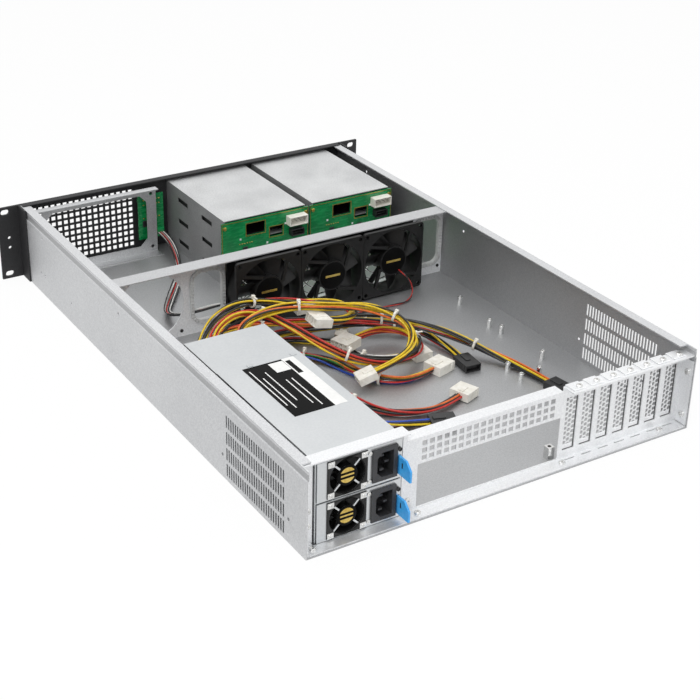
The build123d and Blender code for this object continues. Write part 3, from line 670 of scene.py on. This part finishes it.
def cableConnector(cable, look):
    # a housing lying along +y with its open cells at the far end, then set on the cable's end
    name = cable + "_plug"
    wide, high, long = look["size"]
    columns, rows = look["cells"]
    housing = addBlock(name, (0, long / 2, 0), (wide, long, high))
    pickFaces(housing, anyFace)
    for column in range(1, columns):
        cutAt((-wide / 2 + wide * column / columns, 0, 0), (1, 0, 0))
    for row in range(1, rows):
        cutAt((0, 0, -high / 2 + high * row / rows), (0, 0, 1))
    pickFaces(housing, facing("y"))
    insetFaces(cellSettings["wall"], each=True)
    pushFaces(cellSettings["depth"], (0, -1, 0))
    leaveEdit()
    latch = addBlock(name + "Latch", (0, long * 0.36, high / 2 + 0.5), (wide * 0.3, long * 0.5, 1.4), 0.3)
    rib = addBlock(name + "Rib", (0, long * 0.8, 0), (wide + 1.2, long * 0.12, high * 0.6), 0.3)
    connector = joinPieces(name, [housing, latch, rib])
    end, before = (Vector(harnessRoutes[cable][index]) for index in (-1, -2))
    connector.rotation_mode = "QUATERNION"
    connector.rotation_quaternion = (end - before).to_track_quat("Y", "Z")
    connector.location = end
    applyPlace(connector)
    return finishPiece(connector, look["finish"], replaces=["cable_connectors"])


chance = random.Random(7)
for cableName, look in bundleSettings.items():
    bundle, points = wireBundle(cableName, look, chance)
    for number, share in enumerate(look.get("ties", ()), 1):
        radius = look["spread"] + look["wire"] / 2 - tieSettings["grip"]
        cableTie(f"{cableName}_tie_{number}", points, share, radius)
    if "plug" in look:
        cableConnector(cableName, plugKinds[look["plug"]])
print("cables made:", len(bundleSettings))

# Finishes of the nodes that keep their CAD shape

nodeFinish = {
    "trayGalvanisedSheet": ("chassis_tray",),
    "panelGalvanisedSheet": ("rear_panel", "rear_lip"),
    "wallGalvanisedSheet": ("fan_wall",),
    "galvanisedSheet": ("vent_bracket",),
    "cageSheet": ("drive_cage_left", "drive_cage_right"),
    "zincPlatedCasing": ("psu_housing", "psu_module_1", "psu_module_2"),
    "blackPowderCoat": ("front_panel", "ear_left", "ear_right"),
    "nickelPlate": ("standoffs",),
    "greenSolderMask": ("control_board", "backplane_left", "backplane_right"),
    "blackNylon": ("psu_cable_bush", "power_button", "reset_button"),
    "paleGreyNylon": ("cable_grommets",),
    "inletNylon": ("psu_inlet_1", "psu_inlet_2"),
    "skyBlueNylon": ("psu_latch_1", "psu_latch_2"),
    "blackPbt": (
        "psu_rotor_1", "psu_rotor_2",
        *(f"{part}_{number}" for part in ("fan_frame", "fan_rotor") for number in range(1, 4)),
        *(f"{part}_{number}" for part in ("drive_tray", "tray_lever") for number in range(1, 7)),
    ),
}
for finishName, nodeNames in nodeFinish.items():
    for nodeName in nodeNames:
        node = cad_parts[nodeName]
        node.data.materials.clear()
        node.data.materials.append(finish[finishName])
print("nodes finished")

# Repeats: a master that faces +z is copied to its places and turned to face along an axis

facings = {"z": (0, 0, 0), "y": (-90, 0, 0), "-y": (90, 0, 0), "x": (0, 90, 0)}


def setCopies(master, name, places):
    copies = []
    for place, facing in places:
        copy = copyPiece(master, name)
        copy.rotation_euler = [math.radians(angle) for angle in facings[facing]]
        copy.location = Vector(place) * mm
        copies.append(applyPlace(copy))
    bpy.data.objects.remove(master)
    return joinPieces(name, copies)


def roundCut(piece, centre, radius, depth, turn=(90, 0, 0), sides=40):
    cutter = addRod("cutter", centre, radius, depth, sides, turn)
    applyModifier(piece, "BOOLEAN", object=cutter, operation="DIFFERENCE")
    bpy.data.objects.remove(cutter)


# Screws: one pan head drawn with a cross recess, its measures as shares of the radius or the height

screwShape = {
    "sides": 16, "rim": 0.18, "crown": 0.12, "recess": 0.57, "depth": 0.4, "cross": (1.0, 0.62, 0.42, 0.62),
}


def panScrew(radius, height=1.7):
    recess = radius * screwShape["recess"]
    screw = addRod("panScrew", (0, 0, height / 2), radius, height, screwShape["sides"], (0, 0, 0))
    pickFaces(screw, facing("z"))
    insetFaces(radius * screwShape["rim"])
    nudgeFaces(0, 0, radius * screwShape["crown"])
    insetFaces(radius * (1 - screwShape["rim"]) - recess)
    insetFaces(0.01)
    pushFaces(height * screwShape["depth"], (0, 0, -1))
    leaveEdit()
    # every fourth point stays out and the rest come in, which leaves a cross
    for vertex in screw.data.vertices:
        away = math.hypot(vertex.co.x, vertex.co.y) / mm
        if 0.3 < away < recess + 0.05:
            turns = math.atan2(vertex.co.y, vertex.co.x) / (2 * math.pi)
            share = screwShape["cross"][round(turns * screwShape["sides"]) % 4]
            vertex.co.x *= share
            vertex.co.y *= share
    return screw


# middles of what repeats, and the faces that small parts stand on, in mm
moduleMiddles = (22.125, 62.575)
moduleFanX, moduleFace = 168, 312.5
bayMiddles = (-24, -140)
fanMiddles, fanZ, fanRear = (32, -48.5, -129), 43.5, -64
wallFront, wallRear = -90.2, -89
boardFace, controlFace = -172.4, -315
slotMiddles = [-199 + 20.32 * index for index in range(7)]
caseScrewPlaces = [
    ((97, 317, 2.4), "z"), ((-65.5, 317, 2.4), "z"), ((-186, 317, 2.4), "z"), ((204, 317, 2.4), "z"),
    ((205.5, 310, 37.5), "y"), ((205.5, 310, 22.4), "y"), ((104, 310, 14), "y"), ((103, 310, 40), "y"),
    ((-212.6, 318, 60), "x"), ((-212.6, 318, 13), "x"),
    *(((x, 317, 81), "z") for x in slotMiddles),
]
finishPiece(setCopies(panScrew(3.0), "case_screws", caseScrewPlaces), "nickelPlate")
boardScrewPlaces = [
    ((x + side * 53, boardFace, z), "y") for x in bayMiddles for side in (1, -1) for z in (8, 75)
]
finishPiece(setCopies(panScrew(2.2, 1.3), "backplane_screws", boardScrewPlaces), "goldFlash")
for number, z in enumerate(moduleMiddles, 1):
    places = [
        ((moduleFanX + side * 16.6, moduleFace + 0.8, z + up * 15.4), "y")
        for side in (1, -1) for up in (1, -1)
    ]
    places += [((145.8, moduleFace, z + up * 14), "y") for up in (1, -1)]
    screws = setCopies(panScrew(2.0, 1.2), f"module_screws_{number}", places)
    finishPiece(screws, "nickelPlate", f"module_{number}")
print("screws made")

# Slot covers: sheet with a honeycomb of holes, a tab on the shelf and a plain foot

coverShape = {
    "pitch": 5.1, "bar": 1.0, "along": 12, "across": 2, "thick": 1.0, "foot": 15.6, "high": 53.7,
    "wide": 14.6, "middle": 1.7, "plane": 308.3,
}


def hexSheet():
    pitch = coverShape["pitch"]
    radius = pitch / math.sqrt(3)
    clearSelection()
    bpy.ops.mesh.primitive_circle_add(vertices=6, radius=radius * mm, fill_type="NGON")
    cell = bpy.context.object
    pickFaces(cell, anyFace)
    insetFaces(coverShape["bar"] / 2)
    bpy.ops.mesh.delete(type="FACE")
    leaveEdit()
    sheet = joinPieces("hexSheet", [cell, copyPiece(cell, "cell", (pitch / 2, 1.5 * radius, 0))])
    steps = (((pitch, 0), coverShape["along"]), ((0, 3 * radius), coverShape["across"]))
    for step, count in steps:
        applyModifier(
            sheet, "ARRAY", use_relative_offset=False, use_constant_offset=True, count=count,
            constant_offset_displace=(step[0] * mm, step[1] * mm, 0), use_merge_vertices=True,
            merge_threshold=0.05 * mm,
        )
    pickFaces(sheet, anyFace)
    bpy.ops.mesh.remove_doubles(threshold=0.05 * mm)
    cutAt((0, 0, 0), (-1, 0, 0), drop=True)
    cutAt((coverShape["high"], 0, 0), (1, 0, 0), drop=True)
    cutAt((0, coverShape["wide"], 0), (0, 1, 0), drop=True)
    cutAt((0, 0, 0), (0, -1, 0), drop=True)
    leaveEdit()
    applyModifier(sheet, "SOLIDIFY", thickness=coverShape["thick"] * mm, offset=0)
    # its rows stand upright behind the opening, a little to the +x side of it
    sheet.rotation_euler = (0, 0, math.radians(90))
    applyPlace(sheet)
    sheet.rotation_euler = (math.radians(90), 0, 0)
    edge = coverShape["middle"] + coverShape["wide"] / 2
    sheet.location = Vector((edge, coverShape["plane"], coverShape["foot"])) * mm
    return applyPlace(sheet)


coverX, coverY = coverShape["middle"], coverShape["plane"]
coverWide, coverThick = coverShape["wide"], coverShape["thick"]
coverHead = addBlock("coverHead", (coverX, coverY, 74.6), (coverWide, coverThick, 11))
pickFaces(coverHead, facing("z"))
pushFaces(0.9, (0, 0, 1))
leaveEdit()
pickFaces(coverHead, lambda face: face.normal.y > 0.9 and face.center.z > 80 * mm)
pushFaces(12, (0, 1, 0))
leaveEdit()
roundEdges(coverHead, 0.25, 1)
footPlace = (coverX, coverY, 2 + coverShape["foot"] / 2)
coverFoot = addBlock("coverFoot", footPlace, (coverWide, coverThick, coverShape["foot"] - 4), 0.25)
cover = joinPieces("cover", [hexSheet(), coverHead, coverFoot])
covers = [copyPiece(cover, "cover", (x, 0, 0)) for x in slotMiddles]
bpy.data.objects.remove(cover)
finishPiece(joinPieces("slot_cover_sheets", covers), "panelGalvanisedSheet", replaces=["slot_covers"])
# painted shadow: black strips in the narrow gap beside and below each cover stand in for the shade there,
# each with its place and size
stripShapes = (((-7.7, 307.8, 39), (0.6, 1.6, 56)), ((0, 309, 11.3), (13.6, 0.4, 0.6)))
strips = [
    addBlock("strip", (x + place[0], *place[1:]), size) for x in slotMiddles for place, size in stripShapes
]
edgeStrips = joinPieces("slot_edge_strips", strips)
roundEdges(edgeStrips, 0.12, 1)
finishPiece(edgeStrips, "blackNylon")
print("slot covers made")

# Supply: surround, corner plates, duct and hub disc of each module fan, printed fields and tabs on the lid

for number, z in enumerate(moduleMiddles, 1):
    body = f"module_{number}"
    middle = (moduleFanX, moduleFace + 0.4, z)
    surround = addBlock(f"module_surround_{number}", middle, (39.6, 0.8, 36.6))
    roundCut(surround, middle, 17.7, 4)
    pickFaces(surround, facing("y"))
    insetFaces(0.5)
    nudgeFaces(0, 0.35, 0)
    leaveEdit()
    finishPiece(surround, "blackPbt", body)
    # bright corner plates that hold the wire guard down on the black frame
    corners = []
    for side, up in ((1, 1), (1, -1), (-1, 1), (-1, -1)):
        place = (moduleFanX + side * 16.4, moduleFace + 1, z + up * 15.2)
        plate = addBlock("corner", place, (6.4, 0.6, 5.6))
        pickFaces(plate, facing("y"))
        insetFaces(0.8)
        nudgeFaces(0, 0.3, 0)
        leaveEdit()
        corners.append(plate)
    finishPiece(joinPieces(f"module_corner_plates_{number}", corners), "nickelPlate", body)
    # black duct of the small fan, which lines the well
    duct = addRod(f"module_duct_{number}", (moduleFanX, moduleFace - 11, z), 17.6, 20.6, 48, fill="NOTHING")
    applyModifier(duct, "SOLIDIFY", thickness=0.5 * mm, offset=-1)
    finishPiece(duct, "blackPbt", body)
    # the disc on the motor base that the arms of the guard carry, with plain gold fields
    disc = addRod(f"module_hub_disc_{number}", (moduleFanX, moduleFace + 0.2, z), 10, 0.4, 40)
    roundEdges(disc, 0.12, 2)
    finishPiece(disc, "blackCoatedPaper", body)
    fieldY = moduleFace + 0.45
    segments = [addBlock("bar", (moduleFanX, fieldY, z), (13, 0.1, 1.6), 0.04)]
    for up in (1, -1):
        segment = addRod("segment", (moduleFanX, fieldY, z), 7.4, 0.1, 32)
        pickFaces(segment, anyFace)
        cutAt((moduleFanX, fieldY, z + up * 3.2), (0, 0, -up), drop=True)
        bpy.ops.mesh.select_mode(type="EDGE")
        bpy.ops.mesh.select_all(action="DESELECT")
        bpy.ops.mesh.select_non_manifold()
        bpy.ops.mesh.edge_face_add()
        leaveEdit()
        segments.append(segment)
    finishPiece(joinPieces(f"module_disc_fields_{number}", segments), "goldFlash", body)
    # the knob above the release tab, and the dark mark on the tab's broad face
    knob = addRod(f"module_knob_{number}", (116.3, moduleFace + 1.1, z + 10), 2, 2.2, 24)
    pickFaces(knob, facing("y"))
    insetFaces(0.6)
    pushFaces(0.5, (0, -1, 0))
    leaveEdit()
    finishPiece(knob, "blackNylon", body)
    mark = addBlock(f"latch_mark_{number}", (116.85, 319, z - 4), (0.2, 1.7, 5.2), 0.08)
    finishPiece(mark, "blackNylon", f"latch_{number}")


def flatField(name, centre, size, look):
    # a printed field on the lid: a thin sheet with a bevelled rim
    field = addBlock(name, centre, (*size, 0.1))
    pickFaces(field, facing("z"))
    insetFaces(min(0.4, min(size) * 0.2))
    nudgeFaces(0, 0, 0.02)
    leaveEdit()
    return finishPiece(field, look)


sheetZ, printZ = 83.55, 83.64
lidFields = {
    # name: place across and along, height, size and look
    "supply_black_field": (155.5, 190.5, sheetZ, (41, 97), "blackCoatedPaper"),
    "supply_pale_field": (128.5, 190.5, sheetZ, (13, 97), "whiteCoatedPaper"),
    "supply_white_patch": (143, 154, printZ, (15, 18), "whiteCoatedPaper"),
    "supply_dark_patch": (131, 160, printZ, (5, 26), "blackCoatedPaper"),
}
for name, (x, y, z, size, look) in lidFields.items():
    flatField(name, (x, y, z), size, look)
# pale lines: place across and along, and length
paleLines = ((172, 184, 70), (167, 196, 60), (160, 186, 58), (150, 202, 48), (144, 205, 54))
for number, (x, y, long) in enumerate(paleLines, 1):
    flatField(f"supply_pale_line_{number}", (x, y, printZ), (1.1, long), "whiteCoatedPaper")
tabs = []
for x in (120, 166):
    tab = addBlock("tab", (x, 138.4, 83.9), (6, 4.6, 0.8))
    pickFaces(tab, facing("y", -1))
    nudgeFaces(0, 0, -0.5)
    leaveEdit()
    roundEdges(tab, 0.15, 1)
    tabs.append(tab)
finishPiece(joinPieces("supply_lid_tabs", tabs), "zincPlatedCasing")
print("supply details made")


# Backplanes: gold outlines round the air windows, sockets with their pins, small parts

def flatFrame(name, centre, size, border, thick=0.16):
    # a rectangular ring that faces the rear
    ring = addBlock(name, centre, (size[0], thick, size[1]))
    pickFaces(ring, lambda face: abs(face.normal.y) > 0.9)
    insetFaces(border, each=True)
    bpy.ops.mesh.bridge_edge_loops()
    leaveEdit()
    return ring


def pinSocket(name, place, size, pins, wall=1.3, shell="naturalNylon"):
    # a shell open to the rear with a row of square pins inside
    x, y, z = place
    wide, deep, high = size
    block = addBlock(name, (x, y + deep / 2, z), size)
    pickFaces(block, facing("y"))
    insetFaces(wall)
    pushFaces(deep - 2, (0, -1, 0))
    leaveEdit()
    roundEdges(block, 0.3, 1)
    block.data.materials.append(finish[shell])
    contacts = []
    for index in range(pins):
        pinX = x + (index - (pins - 1) / 2) * (wide - 2 * wall) / pins
        pin = addBlock("pin", (pinX, y + deep / 2, z), (1.2, deep - 2, 1.2))
        pickFaces(pin, facing("y"))
        bpy.ops.transform.resize(value=(0.5, 1, 0.5))
        leaveEdit()
        pin.data.materials.append(finish["nickelPlate"])
        contacts.append(pin)
    return joinPieces(name, [block, *contacts])


# air windows: offset from the bay's middle, height, width and how high
airWindows = ((13, 68, 24, 14), (-14, 59, 17, 12), (10, 24, 30, 14))
outlineY = boardFace + 0.08
outlines = []
sockets = []
for x in bayMiddles:
    for offset, z, wide, high in airWindows:
        size = (wide + 2.4, high + 2.4)
        outlines.append(flatFrame("outline", (x + offset, outlineY, z), size, 1.1))
    outlines.append(flatFrame("edgeLine", (x, outlineY, 42), (113, 77), 0.8))
    sockets.append(pinSocket("powerSocket", (x - 39, boardFace, 70), (24, 10, 11), 4))
    sockets.append(pinSocket("dataSocket", (x - 39, boardFace, 55), (17, 8, 8), 7, 1.0, "blackNylon"))
sockets.append(pinSocket("loomSocket", (8, boardFace, 10), (12, 8, 8), 0, 1.0, "blackNylon"))
finishPiece(joinPieces("backplane_outlines", outlines), "goldFlash")
finishPiece(joinPieces("board_socket_shells", sockets), replaces=["board_sockets"])


def smallParts(name, places, size, look):
    # chips or pads of one size on a board: each a block with a bevelled top
    parts = [addBlock(name, place, size, min(size) * 0.22) for place in places]
    return finishPiece(joinPieces(name, parts), look)


dotSteps = ((-26, 66), (33, 58), (36, 36), (-2, 47))
dotPlaces = [(x + dx, boardFace + 0.3, z) for x in bayMiddles for dx, z in dotSteps]
smallParts("backplane_dots", dotPlaces, (2.2, 0.6, 2.2), "whiteCoatedPaper")
chipSteps = ((-12, 44), (27, 46), (-34, 28), (40, 20))
chipPlaces = [(x + dx, boardFace + 0.7, z) for x in bayMiddles for dx, z in chipSteps]
smallParts("backplane_chips", chipPlaces, (6, 1.4, 4), "blackNylon")
padPlaces = [
    (x + 34 - 3.2 * step, boardFace + 0.35, z) for x in bayMiddles for step in range(6) for z in (52, 40)
]
smallParts("backplane_parts", padPlaces, (1.7, 0.7, 1), "goldFlash")
chipPlaces = [(x, controlFace + 0.8, z) for x, z in ((52, 52), (62, 36))]
smallParts("control_chips", chipPlaces, (8, 1.6, 8), "blackNylon")
padPlaces = [(44 + 4 * step, controlFace + 0.5, z) for step in range(6) for z in (66, 60, 43)]
smallParts("control_parts", padPlaces, (2, 1, 1.2), "goldFlash")
print("board details made")

# Fans: wire guards ahead of the fan wall, and on each motor a disc with one plain gold bar

guardSettings = {"rings": (9, 17, 25, 33), "wire": 0.8, "spoke": 28, "away": 23.5, "high": 2.2}


def wireGuard():
    parts = []
    for radius in guardSettings["rings"]:
        clearSelection()
        bpy.ops.mesh.primitive_torus_add(
            major_radius=radius * mm, minor_radius=guardSettings["wire"] * mm,
            major_segments=40, minor_segments=6, location=(0, 0, guardSettings["wire"] * mm),
        )
        parts.append(applyPlace(bpy.context.object))
    for quarter in range(4):
        spoke = addRod("spoke", (0, 0, 0), guardSettings["wire"], guardSettings["spoke"], 8, (0, 90, 0))
        # the far end turns down to meet the sheet
        pickFaces(spoke, facing("x"))
        pushFaces(2.2, (1, 0, -0.5))
        leaveEdit()
        angle = math.radians(45 + 90 * quarter)
        away = guardSettings["away"]
        spoke.rotation_euler = (0, 0, angle)
        spoke.location = Vector(
            (away * math.cos(angle), away * math.sin(angle), guardSettings["high"])
        ) * mm
        parts.append(applyPlace(spoke))
    return joinPieces("wireGuard", parts)


guardPlaces = [((x, wallFront, fanZ), "-y") for x in fanMiddles]
finishPiece(setCopies(wireGuard(), "fan_wire_guards", guardPlaces), "nickelPlate")
for number, x in enumerate(fanMiddles, 1):
    disc = addRod(f"fan_hub_disc_{number}", (x, fanRear + 0.2, fanZ), 16, 0.4, 40)
    roundEdges(disc, 0.15, 2)
    finishPiece(disc, "blackCoatedPaper")
    bar = addBlock(f"fan_disc_bar_{number}", (x, fanRear + 0.45, fanZ), (19, 0.1, 2.6), 0.04)
    finishPiece(bar, "goldFlash")
print("fan details made")

# Edge guards: small ribs all round both cable windows, on both sides of the wall

ribSettings = {
    "windows": ((94, 44), (-191, 44)), "half": (19, 30), "corner": 12, "count": 44,
    "faces": (-86.9, -92.3), "size": (3.2, 1.0, 1.2),
}


def ribPlaces(middle, half, corner, count):
    # even steps round a rounded rectangle, each with its direction outwards
    straightX, straightZ = half[0] - corner, half[1] - corner
    arc = math.pi * corner / 2
    total = 4 * (straightX + straightZ) + 4 * arc
    places = []
    for step in range(count):
        along = total * step / count
        for quarter in range(4):
            run = 2 * (straightX if quarter % 2 else straightZ)
            turn = 90 * quarter
            cornerX = straightX if quarter in (0, 3) else -straightX
            cornerZ = straightZ if quarter in (0, 1) else -straightZ
            if along < run + arc:
                # a stretch back along the straight run, or a turn round the corner
                back = max(0, run - along)
                angle = turn + 90 * max(0, along - run) / arc
                outwards = math.radians(angle)
                x = cornerX + corner * math.cos(outwards) + back * math.sin(outwards)
                z = cornerZ + corner * math.sin(outwards) - back * math.cos(outwards)
                places.append((middle[0] + x, middle[1] + z, angle))
                break
            along -= run + arc
    return places


ribs = []
for middle in ribSettings["windows"]:
    around = ribPlaces(middle, ribSettings["half"], ribSettings["corner"], ribSettings["count"])
    for x, z, angle in around:
        for face in ribSettings["faces"]:
            rib = addBlock("rib", (0, 0, 0), ribSettings["size"])
            rib.rotation_euler = (0, math.radians(-angle), 0)
            rib.location = Vector((x, face, z)) * mm
            ribs.append(applyPlace(rib))
ribSet = joinPieces("grommet_ribs", ribs)
roundEdges(ribSet, 0.25, 1)
finishPiece(ribSet, "paleGreyNylon")
print("ribs made:", len(ribs))

# Posts on the floor: bright turned caps that stand on the standoffs

standoffTop = 7.7
standoffPlaces = [
    (-182, -5), (-177, 57), (-179, 76), (-181, 144), (-88, 24),
    (-62, -17), (-133, 147), (-156, 170), (-131, 172),
]


def turnedPost():
    post = addRod("post", (0, 0, 1.4), 3.0, 2.8, 20, (0, 0, 0))
    pickFaces(post, facing("z"))
    insetFaces(1.3)
    pushFaces(1.8, (0, 0, -1))
    leaveEdit()
    roundEdges(post, 0.2, 1)
    return post


postPlaces = [((x, y, standoffTop), "z") for x, y in standoffPlaces]
finishPiece(setCopies(turnedPost(), "post_tops", postPlaces), "nickelPlate")

# Push rivets in the fan wall, round the spare opening and the windows

rivetSpots = ((126, 8), (126, 80), (197, 8), (197, 80), (74.5, 6), (-170, 6), (-209, 10))
rivetPlaces = [((x, wallRear, z), "y") for x, z in rivetSpots]
finishPiece(setCopies(panScrew(1.9, 0.8), "wall_rivets", rivetPlaces), "blackNylon")
print("small parts made")

# Stage, light and world

stageSettings = {"size": 9, "under": 0.5, "floor": "#F4F4F4", "glow": 0.93, "ambient": 0.42}


def raysSeen(owner):
    # 1 for rays from the camera, straight or by way of gloss or glass, and 0 for the rest
    rays = addNode(owner, "LightPath")
    seen = addMath(owner, "MAXIMUM", (rays, "Is Camera Ray"), (rays, "Is Glossy Ray"))
    return addMath(owner, "MAXIMUM", (seen, 0), (rays, "Is Transmission Ray"))


clearSelection()
bpy.ops.mesh.primitive_plane_add(
    size=stageSettings["size"], location=(0, 0, -stageSettings["under"] * mm)
)
floor = bpy.context.object
floor.name = "floor"
paper = bpy.data.materials.new("paleFloor")
paper.use_nodes = True
paper.node_tree.nodes.clear()
seen = raysSeen(paper)
share = addMath(paper, "MULTIPLY", (seen, 0), stageSettings["glow"])
matt = addNode(paper, "BsdfDiffuse", {"Color": hexColor(stageSettings["floor"])})
glow = addNode(paper, "Emission", {"Color": (1, 1, 1, 1), "Strength": 1})
both = addNode(paper, "MixShader", links={0: (share, 0), 1: (matt, "BSDF"), 2: (glow, "Emission")})
addNode(paper, "OutputMaterial", links={"Surface": (both, "Shader")})
floor.data.materials.append(paper)

lampSettings = {
    # name: place, size and power
    "key": ((1.6, 1.2, 2.4), 1.6, 46),
    "fill": ((-1.8, 1.6, 1.5), 1.8, 16),
    "top": ((0, -0.4, 2.6), 2.2, 24),
}
lampAim = Vector((0, 0, 0.04))
for name, (place, size, power) in lampSettings.items():
    clearSelection()
    turn = (Vector(place) - lampAim).to_track_quat("Z", "Y").to_euler()
    bpy.ops.object.light_add(type="AREA", location=place, rotation=turn)
    lamp = bpy.context.object
    lamp.name = name + "Lamp"
    lamp.data.size = size
    lamp.data.energy = power

world = bpy.data.worlds.new("studio")
bpy.context.scene.world = world
world.use_nodes = True
world.node_tree.nodes.clear()
seen = raysSeen(world)
ambient = addNode(world, "Background", {"Color": (1, 1, 1, 1), "Strength": stageSettings["ambient"]})
backdrop = addNode(world, "Background", {"Color": (1, 1, 1, 1), "Strength": 1})
mixed = addNode(world, "MixShader", links={0: (seen, 0), 1: (ambient, 0), 2: (backdrop, 0)})
addNode(world, "OutputWorld", links={"Surface": (mixed, "Shader")})
bpy.context.scene.view_settings.view_transform = "Standard"
print("stage made")

bpy.context.view_layer.update()
